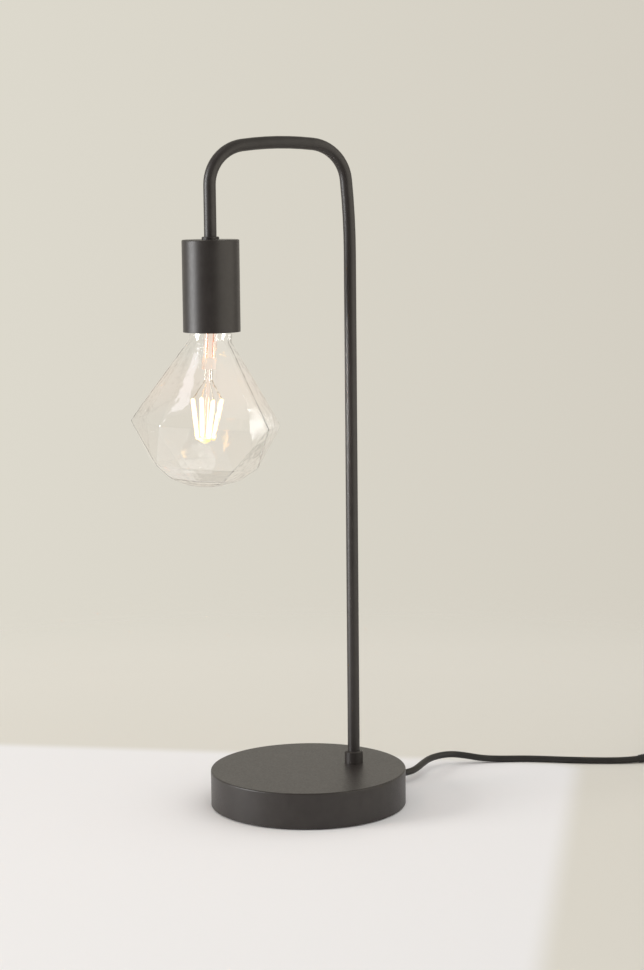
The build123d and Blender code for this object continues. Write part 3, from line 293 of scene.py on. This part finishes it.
cord_dia = 5.7
cord_route_in = [
    (94.119, 23.466, 8.5), (103.822, 25.886, 8.5), (112.5, 32.0, 9.0), (122.5, 43.0, 9.3), (133.5, 54.5, 9.5),
    (146.0, 62.0, 9.5), (160.0, 64.0, 9.3), (173.0, 61.0, 7.2), (187.0, 56.5, 4.2), (203.0, 53.0, 2.85),
    (226.0, 44.5, 2.85), (252.0, 28.5, 2.85), (280.0, 13.0, 2.85), (305.0, 3.5, 2.85), (324.0, -0.2, 4.6),
    (337.657, -3.665, 7.0), (346.993, -7.249, 7.0),
]
cord_route_out = [
    (403.007, -28.751, 7.0), (412.343, -32.335, 7.0), (424.3, -33.0, 5.6), (435.6, -28.9, 4.2),
    (446.3, -19.8, 3.2), (454.148, -7.015, 2.85), (459.188, 7.113, 2.85),
]
cord_route_end = [
    (463.273, 17.753, 9.05), (465.746, 23.764, 9.05), (468.79, 31.162, 6.85), (471.264, 37.173, 6.85),
]
coil_middle = Vector((422.5, 27.3, 0))
coil_start = -21.0
coil_turns = 7
coil_inner = 21.2
coil_pitch = 6.2
climb_turns = 0.5
points_a_turn = 16


def coil_points():
    """Two layers of turns: inwards on the floor, up a layer at the middle, and out again on top."""
    points = []
    for k in range(coil_turns * points_a_turn + 1):
        turn = k / points_a_turn
        past = turn - coil_turns / 2
        height = cord_dia / 2 + coil_pitch * smooth_step(past, -climb_turns / 2, climb_turns / 2)
        # A spline cuts inside its control points, so these stand a little further out
        radius = (coil_inner + coil_pitch * (abs(past) - climb_turns / 2)) / cos(radians(180 / points_a_turn))
        points.append(coil_middle + direction(coil_start + 360 * turn) * radius + Vector((0, 0, height)))
    return points


def spline_curve(name, points, radius=0.0):
    """One open smooth spline whose control points are given in millimetres."""
    curve = bpy.data.curves.new(name, "CURVE")
    curve.dimensions = "3D"
    curve.resolution_u = 8
    curve.bevel_depth = radius * mm
    curve.bevel_resolution = 6
    curve.use_fill_caps = True
    spline = curve.splines.new("NURBS")
    spline.points.add(len(points) - 1)
    for control, spot in zip(spline.points, points):
        control.co = (*(Vector(spot) * mm), 1.0)
    spline.order_u = 3
    spline.use_endpoint_u = True
    return new_object(name, curve)


def settle(piece, body, slot, *replaced, look=None):
    """The piece takes its slot's finish, or one of its own, moves with its body and stands for the
    nodes named."""
    piece.data.materials.clear()
    piece.data.materials.append(finishes[look or slot])
    if piece.type == "MESH":
        for face in piece.data.polygons:
            face.material_index = 0
    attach(piece, body)
    if replaced:
        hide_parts(*replaced)
    return piece


lead = settle(spline_curve("lead_to_switch", cord_route_in, cord_dia / 2), "lamp", "cord_pvc", "cord_lead")
spare_route = cord_route_out + coil_points() + cord_route_end
spare = settle(
    spline_curve("cord_to_plug", spare_route, cord_dia / 2), "lamp", "cord_pvc",
    "cord_run", "cord_coil", "cord_tail",
)


# Ribs and bars: small forms that repeat along the end of the cord or side by side

hoop_sides = 32
rib_sides = 8
bar_sides = 12
bar_points = 49
# The width of a bar's very end, as a share of its full width
bar_end_width = 0.25
# How far a strain relief's ribs stand out, as a share of its radius
rib_height = 0.07
# Edges between faces that turn by more than this stay sharp
sharp_edge = 50.0


def geometry_tree(name, *inputs):
    """A geometry tree with named inputs, and the sockets that give their values."""
    tree = bpy.data.node_groups.new(name, "GeometryNodeTree")
    tree.interface.new_socket("Geometry", in_out="INPUT", socket_type="NodeSocketGeometry")
    tree.interface.new_socket("Geometry", in_out="OUTPUT", socket_type="NodeSocketGeometry")
    for label, kind in inputs:
        tree.interface.new_socket(label, in_out="INPUT", socket_type="NodeSocket" + kind)
    return tree, add_node(tree, "NodeGroupInput").outputs


def close_tree(tree, geometry, material):
    """Ends a tree: instances made real, one material set, and the result put out."""
    real = add_node(tree, "GeometryNodeRealizeInstances", {0: geometry})
    painted = add_node(tree, "GeometryNodeSetMaterial", {"Geometry": real.outputs[0], "Material": material})
    add_node(tree, "NodeGroupOutput", {0: painted.outputs[0]})
    return tree


def relief_tree():
    """A tapered sleeve along a curve with rings on it, as on the moulded end of a cord."""
    tree, given = geometry_tree(
        "ribbed_relief", ("Root Radius", "Float"), ("Tip Radius", "Float"), ("Rib Height", "Float"),
        ("Ribs", "Int"), ("Material", "Material"),
    )
    along = add_node(tree, "GeometryNodeSplineParameter").outputs["Factor"]
    width = add_node(tree, "ShaderNodeMapRange", {
        "Value": along, "To Min": given["Root Radius"], "To Max": given["Tip Radius"],
    }).outputs["Result"]
    hoop = add_node(tree, "GeometryNodeCurvePrimitiveCircle", {"Resolution": hoop_sides, "Radius": 1.0})
    sleeve = add_node(tree, "GeometryNodeCurveToMesh", {
        "Curve": given["Geometry"], "Profile Curve": hoop.outputs["Curve"], "Scale": width,
        "Fill Caps": True,
    })
    kept_width = add_node(tree, "GeometryNodeCaptureAttribute", {
        "Geometry": given["Geometry"],
    }, domain="POINT")
    kept_width.capture_items.new("FLOAT", "Width")
    tree.links.new(width, kept_width.inputs["Width"])
    spots = add_node(tree, "GeometryNodeCurveToPoints", {
        "Curve": kept_width.outputs["Geometry"], "Count": given["Ribs"],
    }, mode="COUNT")
    wire = add_node(tree, "GeometryNodeCurvePrimitiveCircle", {
        "Resolution": rib_sides, "Radius": given["Rib Height"],
    })
    ring = add_node(tree, "GeometryNodeCurveToMesh", {
        "Curve": hoop.outputs["Curve"], "Profile Curve": wire.outputs["Curve"],
    })
    rings = add_node(tree, "GeometryNodeInstanceOnPoints", {
        "Points": spots.outputs["Points"], "Instance": ring.outputs["Mesh"],
        "Rotation": spots.outputs["Rotation"], "Scale": kept_width.outputs["Width"],
    })
    both = add_node(tree, "GeometryNodeJoinGeometry", {"Geometry": sleeve.outputs["Mesh"]})
    tree.links.new(rings.outputs["Instances"], both.inputs["Geometry"])
    return close_tree(tree, both.outputs["Geometry"], given["Material"])


def grip_tree():
    """Round-ended bars side by side, as moulded for the fingers."""
    tree, given = geometry_tree(
        "finger_grip", ("Bars", "Int"), ("Spacing", "Float"), ("Length", "Float"), ("Bar Radius", "Float"),
        ("End Share", "Float"), ("Material", "Material"),
    )
    last = add_node(tree, "ShaderNodeMath", {0: given["Bars"], 1: -1.0}, operation="ADD").outputs[0]
    back = add_node(tree, "ShaderNodeMath", {0: last, 1: -0.5}, operation="MULTIPLY").outputs[0]
    start = add_node(tree, "ShaderNodeMath", {0: back, 1: given["Spacing"]}, operation="MULTIPLY").outputs[0]
    start_spot = add_node(tree, "ShaderNodeCombineXYZ", {"X": start}).outputs["Vector"]
    step = add_node(tree, "ShaderNodeCombineXYZ", {"X": given["Spacing"]}).outputs["Vector"]
    line = add_node(tree, "GeometryNodeMeshLine", {
        "Count": given["Bars"], "Start Location": start_spot, "Offset": step,
    }, mode="OFFSET")
    half = add_node(tree, "ShaderNodeMath", {0: given["Length"], 1: 0.5}, operation="MULTIPLY").outputs[0]
    minus_half = add_node(tree, "ShaderNodeMath", {0: half, 1: -1.0}, operation="MULTIPLY").outputs[0]
    near = add_node(tree, "ShaderNodeCombineXYZ", {"Y": minus_half}).outputs["Vector"]
    far = add_node(tree, "ShaderNodeCombineXYZ", {"Y": half}).outputs["Vector"]
    bar_line = add_node(tree, "GeometryNodeCurvePrimitiveLine", {"Start": near, "End": far})
    fine = add_node(tree, "GeometryNodeResampleCurve", {
        "Curve": bar_line.outputs["Curve"], "Count": bar_points,
    })
    along = add_node(tree, "GeometryNodeSplineParameter").outputs["Factor"]
    # Full along the bar and drawn in over a share of its length at both ends
    from_end = add_node(tree, "ShaderNodeMath", {0: along, 1: 1.0}, operation="PINGPONG").outputs[0]
    mirrored = add_node(tree, "ShaderNodeMath", {0: 1.0, 1: from_end}, operation="SUBTRACT").outputs[0]
    nearest = add_node(tree, "ShaderNodeMath", {0: from_end, 1: mirrored}, operation="MINIMUM").outputs[0]
    width = add_node(tree, "ShaderNodeMapRange", {
        "Value": nearest, "From Max": given["End Share"], "To Min": bar_end_width, "To Max": 1.0,
    }, interpolation_type="SMOOTHERSTEP").outputs["Result"]
    edge = add_node(tree, "GeometryNodeCurvePrimitiveCircle", {
        "Resolution": bar_sides, "Radius": given["Bar Radius"],
    })
    bar = add_node(tree, "GeometryNodeCurveToMesh", {
        "Curve": fine.outputs["Curve"], "Profile Curve": edge.outputs["Curve"], "Scale": width,
        "Fill Caps": True,
    })
    bars = add_node(tree, "GeometryNodeInstanceOnPoints", {
        "Points": line.outputs["Mesh"], "Instance": bar.outputs["Mesh"],
    })
    return close_tree(tree, bars.outputs["Instances"], given["Material"])


ribbed_relief = relief_tree()
finger_grip = grip_tree()


def grown(name, source, tree, values):
    """The plain mesh that a geometry tree makes of a piece with these values, put in its stead."""
    modifier = source.modifiers.new(tree.name, "NODES")
    modifier.node_group = tree
    for item in tree.interface.items_tree:
        if item.item_type == "SOCKET" and item.in_out == "INPUT" and item.name in values:
            modifier[item.identifier] = values[item.name]
    evaluated = source.evaluated_get(bpy.context.evaluated_depsgraph_get())
    mesh = bpy.data.meshes.new_from_object(evaluated)
    bpy.data.objects.remove(source)
    mesh.name = name
    mesh.shade_smooth()
    mesh.set_sharp_from_angle(angle=radians(sharp_edge))
    return new_object(name, mesh)


def put_at(piece, middle, along, up):
    """Moves a mesh made about the origin to its place: its X along, its Z up."""
    along = Vector(along).normalized()
    across = Vector(up).cross(along).normalized()
    rise = along.cross(across)
    turn = Matrix((along, across, rise)).transposed().to_4x4()
    piece.data.transform(Matrix.Translation(Vector(middle) * mm) @ turn)


def strain_relief(name, route, root, tip, ribs, slot):
    """A ribbed sleeve on the cord along a route in millimetres, from its root to its tip diameter."""
    sleeve = grown(name, spline_curve(name + "_line", route), ribbed_relief, {
        "Root Radius": root / 2 * mm, "Tip Radius": tip / 2 * mm, "Rib Height": rib_height,
        "Ribs": ribs, "Material": finishes[slot],
    })
    return settle(sleeve, "lamp", slot)


def grip(name, look, length, radius, bars=1, spacing=1.0, end_share=0.125):
    """A row of round-ended bars about the origin, in millimetres."""
    seed = new_object(name + "_seed", bpy.data.meshes.new(name + "_seed"))
    return grown(name, seed, finger_grip, {
        "Bars": bars, "Spacing": spacing * mm, "Length": length * mm, "Bar Radius": radius * mm,
        "End Share": end_share, "Material": finishes[look],
    })


def spans(route, count):
    """The control points of a route's first spans, on which a sleeve follows the cord exactly."""
    spots = [Vector(spot) for spot in route[:count + 1]]
    return spots + [(spots[-1] + Vector(route[count + 1])) / 2]


# Strain reliefs where the cord leaves the foot, on both ends of the switch and at the plug
exit_turn = 14.0
exit_rise = Vector((0, 0, cord_route_in[0][2]))
foot_relief_route = [direction(exit_turn) * reach + exit_rise for reach in (78.0, 85.0, 92.0, 99.0)]
foot_relief = strain_relief(
    "foot_cord_relief", foot_relief_route, root=8.8, tip=6.7, ribs=9, slot="cord_pvc",
)
near_relief = strain_relief(
    "switch_relief_near", spans(cord_route_in[::-1], 2), root=9.8, tip=6.7, ribs=13, slot="switch_plastic",
)
far_relief = strain_relief(
    "switch_relief_far", spans(cord_route_out, 2), root=9.8, tip=6.7, ribs=13, slot="switch_plastic",
)
plug_root = Vector(cord_route_end[-1])
plug_way = (plug_root - Vector(cord_route_end[-2])).normalized()
plug_relief_route = [plug_root + plug_way * reach for reach in (13.0, 6.0, -1.0, -8.0)]
plug_relief = strain_relief(
    "plug_cord_relief", plug_relief_route, root=10.4, tip=6.5, ribs=12, slot="cord_pvc",
)

# Plug: finger grips on top of its body, sunk in so that they stand a third of a millimetre proud
plug_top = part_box("plug_body")[1][2] / mm
plug_grip_sunk = 0.55
plug_grip_reach = 37.0
plug_face = Vector((plug_root.x, plug_root.y, plug_top - plug_grip_sunk))
plug_grip_middle = plug_face + plug_way * plug_grip_reach
plug_grip_top = grip("plug_grip_top", "cord_pvc", length=20.0, radius=0.9, bars=5, spacing=3.6)
put_at(plug_grip_top, plug_grip_middle, plug_way, (0, 0, 1))
settle(plug_grip_top, "lamp", "cord_pvc")

# Switch: finger grips on the rocker's two wings, which slope up away from its pivot
switch_turn = -21.0
rocker_tilt = -10.0
rocker_way = direction(switch_turn, rocker_tilt)
rocker_up = direction(switch_turn, rocker_tilt + 90)
rocker_pivot = Vector((375.0, -18.0, 14.2))
wing_slope = 7.5
wing_reach = 4.6
wing_height = 3.75
for side, label in ((-1, "on_side"), (1, "off_side")):
    wing_way = direction(switch_turn, rocker_tilt + side * wing_slope)
    wing_middle = rocker_pivot + rocker_way * (side * wing_reach) + rocker_up * wing_height
    bars = grip("rocker_grip_" + label, "switch_plastic", length=6.6, radius=0.28, bars=4, spacing=1.2)
    put_at(bars, wing_middle, wing_way, rocker_up)
    settle(bars, "rocker", "switch_plastic")


# Bulb: a faceted envelope with a round neck, of blown glass three quarters of a millimetre thick

facets = 8
facet_step = 360 / facets
facet_turn = -10.0
crown_radius = 12.03
crown_depth = 12.0
girdle_radius = 61.0
girdle_depth = 86.0
# The neck's rings from inside the cap down, and the corners below the girdle: radius and depth
neck_radius = 17.0
neck_rings = [
    (11.2, -5.0), (11.2, 0.5), (11.55, 2.0), (12.7, 3.5), (14.1, 4.8), (15.4, 6.1), (16.5, 7.7),
    (neck_radius, 9.2), (neck_radius, 16.6),
]
lower_rings = [(44.0, 120.0), (30.0, 130.5), (14.0, 136.3)]
# The facets begin below this depth. Between it and the neck they run out into the round, on rings
# that each have a depth and a share in which they still follow the facets. The slope is how much
# narrower the facets' own line gets for each millimetre up.
facets_below = 23.0
shoulder_rings = [(21.6, 0.82), (20.2, 0.5), (18.6, 0.18)]
shoulder_slope = 0.62
glass_wall = 0.75
# How far the edges between two facets are rounded off on either side: down the crown, round the
# girdle and below it
ridge_round = 1.6
girdle_round = 0.8
lower_round = 1.0
# How far the crown's facets bulge at their middle, as a share of the distance from the axis, the
# depths between which the bulge rises and falls, and the cuts that let the facets bend
facet_bulge = 0.033
bulge_rise = (21.0, 29.0)
bulge_fall = (74.0, girdle_depth)
bulge_end = girdle_depth - 0.5
cut_depths = (30.0, 40.0, 50.0, 60.0, 68.0, 74.0, 79.0, 83.0)
cut_shares = (-0.38, -0.26, -0.13, 0.0, 0.13, 0.26, 0.38)


def in_bulb(radius, turn, depth):
    """A point of the bulb in metres, by its distance from the glass's axis, its turn and its depth
    below the root."""
    across = glass_side * (radius * cos(radians(turn))) + Vector((0, radius * sin(radians(turn)), 0))
    return (glass_root + across - glass_up * depth) * mm


def faceted_mesh():
    """The flat facets alone, from above the shoulder to the tip, with a rounding weight on each edge."""
    mesh = bmesh.new()
    rings = [(crown_radius, crown_depth, 0.0), (girdle_radius, girdle_depth, 0.0)]
    rings += [(radius, depth, 0.5) for radius, depth in lower_rings]
    crown, girdle, *lower = [
        [mesh.verts.new(in_bulb(radius, facet_turn + facet_step * (k + shift), depth)) for k in range(facets)]
        for radius, depth, shift in rings
    ]
    for k in range(facets):
        ahead = (k + 1) % facets
        mesh.faces.new((crown[ahead], crown[k], girdle[k], girdle[ahead]))
        mesh.faces.new((girdle[ahead], girdle[k], lower[0][k]))
        mesh.faces.new((girdle[ahead], lower[0][k], lower[0][ahead]))
        for above, below in zip(lower, lower[1:]):
            mesh.faces.new((above[ahead], above[k], below[k], below[ahead]))
    mesh.faces.new(lower[-1])
    weights = mesh.edges.layers.float.new("bevel_weight_edge")
    for edge in mesh.edges:
        on_crown = [vert in crown for vert in edge.verts]
        on_girdle = [vert in girdle for vert in edge.verts]
        if all(on_crown):
            continue
        if any(on_crown):
            edge[weights] = 1.0
        else:
            edge[weights] = (girdle_round if all(on_girdle) else lower_round) / ridge_round
    bmesh.ops.recalc_face_normals(mesh, faces=mesh.faces)
    data = bpy.data.meshes.new("facets")
    mesh.to_mesh(data)
    mesh.free()
    return data


def cut_across(mesh, spot, way, **settings):
    """Cuts the whole mesh along a plane through a point."""
    everything = mesh.verts[:] + mesh.edges[:] + mesh.faces[:]
    bmesh.ops.bisect_plane(mesh, geom=everything, plane_co=spot, plane_no=way, dist=1e-6, **settings)


def bulge_facets(mesh):
    """The crown's facets cut into strips and bulged a little, as glass blown in a mould comes out."""
    root = glass_root * mm
    for depth in cut_depths:
        cut_across(mesh, root - glass_up * depth * mm, glass_up)
    for k in range(facets // 2):
        for share in cut_shares:
            turn = radians(facet_turn + facet_step * (k + 0.5 + share))
            cut_across(mesh, root, Vector((0, 1, 0)) * cos(turn) - glass_side * sin(turn))
    for vert in mesh.verts:
        side = (vert.co - root) / mm
        depth = -side.dot(glass_up)
        if depth > bulge_end:
            continue
        away = Vector((side.dot(glass_side), side.y, 0))
        share = (degrees(atan2(away.y, away.x)) - facet_turn) / facet_step % 1 - 0.5
        fade = smooth_step(depth, *bulge_rise) * (1 - smooth_step(depth, *bulge_fall))
        lift = facet_bulge * away.length * (1 - 4 * share * share) * fade
        vert.co += (glass_side * away.x + Vector((0, away.y, 0))).normalized() * lift * mm


def with_neck(facets_mesh):
    """The faceted mesh cut off square below its neck, and the round neck built up from the cut."""
    mesh = bmesh.new()
    mesh.from_mesh(facets_mesh)
    cut = glass_root * mm - glass_up * facets_below * mm
    cut_across(mesh, cut, glass_up, clear_outer=True)
    bulge_facets(mesh)
    rim = {}
    for edge in mesh.edges:
        if edge.is_boundary:
            for vert in edge.verts:
                side = vert.co - cut
                rim[atan2(side.y, side.dot(glass_side))] = vert
    turns = sorted(rim)
    rings = [[rim[turn] for turn in turns]]
    for depth, share in shoulder_rings:
        ring = []
        for turn in turns:
            side = rim[turn].co - cut
            radius = side.length / mm - shoulder_slope * (facets_below - depth)
            blended = radius * share + neck_radius * (1 - share)
            ring.append(mesh.verts.new(in_bulb(blended, degrees(turn), depth)))
        rings.append(ring)
    for radius, depth in neck_rings[::-1]:
        rings.append([mesh.verts.new(in_bulb(radius, degrees(turn), depth)) for turn in turns])
    for lower, upper in zip(rings, rings[1:]):
        for k in range(len(turns)):
            ahead = (k + 1) % len(turns)
            mesh.faces.new((upper[k], lower[k], lower[ahead], upper[ahead]))
    bmesh.ops.recalc_face_normals(mesh, faces=mesh.faces)
    data = bpy.data.meshes.new("bulb_envelope")
    mesh.to_mesh(data)
    mesh.free()
    return data


def finished_mesh(piece):
    """The piece, with its modifiers taken into its mesh."""
    bpy.context.view_layer.update()
    evaluated = piece.evaluated_get(bpy.context.evaluated_depsgraph_get())
    mesh = bpy.data.meshes.new_from_object(evaluated)
    piece.modifiers.clear()
    piece.data = mesh
    return piece


envelope = new_object("bulb_envelope", faceted_mesh())
rounded = envelope.modifiers.new("rounded_edges", "BEVEL")
rounded.limit_method = "WEIGHT"
rounded.width = ridge_round * mm
rounded.segments = 4
rounded.use_clamp_overlap = False
finished_mesh(envelope)
envelope.data = with_neck(envelope.data)
envelope.data.shade_smooth()
wall = envelope.modifiers.new("wall", "SOLIDIFY")
wall.thickness = glass_wall * mm
wall.offset = -1.0
wall.use_even_offset = True
weighted = envelope.modifiers.new("flat_facets", "WEIGHTED_NORMAL")
weighted.mode = "FACE_AREA"
weighted.weight = 100
settle(finished_mesh(envelope), "bulb", "clear_glass", "bulb_glass")

# Filaments: the silicone that stands round the bright core of each, and the hub under them
filaments = 4
filament_turn = 3.7
filament_top_radius = 12.5
filament_top_depth = 67.0
filament_foot_radius = 7.0
filament_foot_depth = 97.7
coat_past_ends = 0.6
coat_radius = 1.7
hub_depth = 99.6
for k in range(filaments):
    turn = filament_turn + 360 / filaments * k
    upper = in_bulb(filament_top_radius, turn, filament_top_depth) / mm
    lower = in_bulb(filament_foot_radius, turn, filament_foot_depth) / mm
    run = (lower - upper).normalized()
    square = Vector((1, 0, 0)) - run * run.x
    coat = grip(
        "filament_coat_%d" % (k + 1), "silicone_coat", length=(lower - upper).length + coat_past_ends,
        radius=coat_radius, end_share=0.04,
    )
    put_at(coat, (upper + lower) / 2, square, square.cross(run))
    settle(coat, "bulb", "led_phosphor", look="silicone_coat")
hub_bead = grip("hub_bead", "lit_hub", length=5.4, radius=4.6, end_share=0.35)
put_at(hub_bead, in_bulb(0, 0, hub_depth) / mm, (0, 1, 0), Vector((0, 1, 0)).cross(glass_up))
settle(hub_bead, "bulb", "led_phosphor", look="lit_hub")


# Stage: a pale floor, white where the lamp stands and beige beyond. Its sizes are in metres.

to_right = direction(camera_heading)
to_back = direction(camera_heading + 90)
floor_reach = 4.0
floor_corners = [(x * floor_reach, y * floor_reach, 0) for x, y in ((-1, -1), (1, -1), (1, 1), (-1, 1))]
floor_mesh = bpy.data.meshes.new("floor")
floor_mesh.from_pydata(floor_corners, [], [(0, 1, 2, 3)])
floor = new_object("floor", floor_mesh)
# How far the white reaches behind the lamp and to its right, the round of its corner, and how far
# its edge is blurred inwards and outwards
white_turn = camera_heading - 9.4
white_reach = Vector((0.151, 0.215, 0))
white_corner = 0.025
blur_in = 0.012
blur_out = 0.014
tree = new_material("floor_paint")
spot = add_node(tree, "ShaderNodeTexCoord").outputs["Object"]
past_back = add_node(tree, "ShaderNodeVectorMath", {
    0: spot, 1: direction(white_turn + 90),
}, operation="DOT_PRODUCT")
past_side = add_node(tree, "ShaderNodeVectorMath", {
    0: spot, 1: direction(white_turn),
}, operation="DOT_PRODUCT")
beyond = add_node(tree, "ShaderNodeCombineXYZ", {
    "X": past_back.outputs["Value"], "Y": past_side.outputs["Value"],
})
corner = white_reach - Vector((white_corner, white_corner, 0))
past = add_node(tree, "ShaderNodeVectorMath", {0: beyond.outputs["Vector"], 1: corner}, operation="SUBTRACT")
outside = add_node(tree, "ShaderNodeVectorMath", {0: past.outputs["Vector"]}, operation="MAXIMUM")
off_white = add_node(tree, "ShaderNodeVectorMath", {0: outside.outputs["Vector"]}, operation="LENGTH")
to_beige = add_node(tree, "ShaderNodeMapRange", {
    "Value": off_white.outputs["Value"], "From Min": white_corner - blur_in,
    "From Max": white_corner + blur_out,
}, interpolation_type="SMOOTHSTEP")
# Further back the beige is painted lighter, where less of the lamps' light reaches the floor
behind = add_node(tree, "ShaderNodeVectorMath", {0: spot, 1: to_back}, operation="DOT_PRODUCT")
falloff_lift = add_node(tree, "ShaderNodeMapRange", {
    "Value": behind.outputs["Value"], "From Min": 0.15, "From Max": 0.6,
})
beige = add_node(tree, "ShaderNodeMix", {
    0: falloff_lift.outputs["Result"], 6: srgb("#dfdace"), 7: srgb("#e6e1d5"),
}, data_type="RGBA")
paint = add_node(tree, "ShaderNodeMix", {
    0: to_beige.outputs["Result"], 6: srgb("#f0edea"), 7: beige.outputs[2],
}, data_type="RGBA")
matt = add_node(tree, "ShaderNodeBsdfDiffuse", {"Color": paint.outputs[2]})
# Far from the lamp the floor fades out into the backdrop
distance = add_node(tree, "ShaderNodeVectorMath", {0: spot}, operation="LENGTH")
fade = add_node(tree, "ShaderNodeMapRange", {
    "Value": distance.outputs["Value"], "From Min": 0.5, "From Max": 1.0,
}, interpolation_type="SMOOTHSTEP")
clear = add_node(tree, "ShaderNodeBsdfTransparent")
ground = add_node(tree, "ShaderNodeMixShader", {
    0: fade.outputs["Result"], 1: matt.outputs["BSDF"], 2: clear.outputs["BSDF"],
})
add_node(tree, "ShaderNodeOutputMaterial", {"Surface": ground.outputs["Shader"]})
floor_mesh.materials.append(finishes["floor_paint"])

# World: a beige backdrop, seen directly and through glass, what gloss mirrors, and soft light
world = bpy.data.worlds.new("studio")
world.use_nodes = True
bpy.context.scene.world = world
tree = world.node_tree
tree.nodes.clear()
way = add_node(tree, "ShaderNodeTexCoord").outputs["Generated"]
sideways = add_node(tree, "ShaderNodeVectorMath", {0: way, 1: to_right}, operation="DOT_PRODUCT")
across = add_node(tree, "ShaderNodeMapRange", {
    "Value": sideways.outputs["Value"], "From Min": -0.15, "From Max": 0.15,
})
backdrop = add_node(tree, "ShaderNodeMix", {
    0: across.outputs["Result"], 6: srgb("#ddd9cd"), 7: srgb("#d4cfc3"),
}, data_type="RGBA")
seen = add_node(tree, "ShaderNodeBackground", {"Color": backdrop.outputs[2], "Strength": 1.0})
# The light that falls on everything is even, and a little stronger from the right
fill = add_node(tree, "ShaderNodeMapRange", {
    "Value": sideways.outputs["Value"], "From Min": -0.2, "From Max": 0.8, "To Min": 0.5, "To Max": 1.1,
})
glow = add_node(tree, "ShaderNodeBackground", {"Color": srgb("#ffffff"), "Strength": fill.outputs["Result"]})
# What gloss mirrors: the pale backdrop behind, a bright side on the right and a grey ceiling, and
# dark in front and on the left
backwards = add_node(tree, "ShaderNodeVectorMath", {0: way, 1: to_back}, operation="DOT_PRODUCT")
from_behind = add_node(tree, "ShaderNodeMapRange", {
    "Value": backwards.outputs["Value"], "From Min": 0.1, "From Max": 1.0, "To Min": 0.12, "To Max": 1.2,
}, interpolation_type="SMOOTHSTEP")
from_right = add_node(tree, "ShaderNodeMapRange", {
    "Value": sideways.outputs["Value"], "From Min": 0.3, "From Max": 0.65, "To Min": 0.12, "To Max": 2.3,
}, interpolation_type="SMOOTHSTEP")
in_front = add_node(tree, "ShaderNodeMapRange", {
    "Value": backwards.outputs["Value"], "From Min": 0.1, "From Max": 0.5, "To Min": 1.0, "To Max": 0.0,
}, interpolation_type="SMOOTHSTEP")
right_side = add_node(tree, "ShaderNodeMath", {
    0: from_right.outputs["Result"], 1: in_front.outputs["Result"],
}, operation="MULTIPLY")
level = add_node(tree, "ShaderNodeMath", {
    0: from_behind.outputs["Result"], 1: right_side.outputs[0],
}, operation="MAXIMUM")
height = add_node(tree, "ShaderNodeSeparateXYZ", {0: way})
from_above = add_node(tree, "ShaderNodeMapRange", {
    "Value": height.outputs["Z"], "From Min": 0.5, "From Max": 0.95, "To Min": 0.12, "To Max": 0.7,
}, interpolation_type="SMOOTHSTEP")
studio = add_node(tree, "ShaderNodeMath", {
    0: level.outputs[0], 1: from_above.outputs["Result"],
}, operation="MAXIMUM")
# A small bright panel, high up at the front left, whose mirror image is the long mark on the bulb.
# It is at full strength up to the first angle from its middle, and gone at the second.
panel_turn = camera_heading - 90 - 47.5
panel_rise = 59.0
panel_full = 3.2
panel_gone = 4.5
to_panel = add_node(tree, "ShaderNodeVectorMath", {
    0: way, 1: direction(panel_turn, panel_rise),
}, operation="DOT_PRODUCT")
panel = add_node(tree, "ShaderNodeMapRange", {
    "Value": to_panel.outputs["Value"], "From Min": cos(radians(panel_gone)),
    "From Max": cos(radians(panel_full)), "To Min": 0.0, "To Max": 4.5,
}, interpolation_type="SMOOTHSTEP")
mirrored_studio = add_node(tree, "ShaderNodeBackground", {
    "Color": backdrop.outputs[2], "Strength": studio.outputs[0],
})
mirrored_panel = add_node(tree, "ShaderNodeBackground", {
    "Color": srgb("#f4f1ff"), "Strength": panel.outputs["Result"],
})
mirrored = add_node(tree, "ShaderNodeAddShader", {
    0: mirrored_studio.outputs["Background"], 1: mirrored_panel.outputs["Background"],
})
rays = add_node(tree, "ShaderNodeLightPath")
looked_at = add_node(tree, "ShaderNodeMath", {
    0: rays.outputs["Is Camera Ray"], 1: rays.outputs["Is Transmission Ray"],
}, operation="MAXIMUM")
in_gloss = add_node(tree, "ShaderNodeMixShader", {
    0: rays.outputs["Is Glossy Ray"], 1: glow.outputs["Background"], 2: mirrored.outputs["Shader"],
})
sky = add_node(tree, "ShaderNodeMixShader", {
    0: looked_at.outputs[0], 1: in_gloss.outputs["Shader"], 2: seen.outputs["Background"],
})
add_node(tree, "ShaderNodeOutputWorld", {"Surface": sky.outputs["Shader"]})

# Lamps: a tall soft strip on the left, a soft box above, and the bulb's own warm light. Their
# places and sizes are in metres.
lamp_middle = Vector((0, 0, 0.27))


def soft_box(name, side, back, height, width, tall, power):
    """A white soft box, placed to the right of and behind the lamp, aimed at it."""
    box = bpy.data.lights.new(name, "AREA")
    box.shape = "RECTANGLE"
    box.size = width
    box.size_y = tall
    box.energy = power
    lamp = new_object(name, box)
    lamp.location = to_right * side + to_back * back + Vector((0, 0, height))
    lamp.rotation_euler = (lamp_middle - lamp.location).to_track_quat("-Z", "Y").to_euler()
    return lamp


soft_box("key_strip", side=-3.2, back=-0.75, height=0.6, width=1.6, tall=2.4, power=127.0)
top_box = soft_box("top_box", side=0.3, back=-0.3, height=2.0, width=1.0, tall=1.0, power=3.0)
top_box.visible_glossy = False
bulb_light = bpy.data.lights.new("bulb_light", "POINT")
bulb_light.energy = 0.15
bulb_light.shadow_soft_size = 0.012
bulb_light.color = srgb("#ffb070")[:3]
bulb_lamp = new_object("bulb_light", bulb_light)
bulb_lamp.location = filament_middle
bulb_lamp.visible_camera = False
bulb_lamp.visible_glossy = False
bulb_lamp.visible_transmission = False
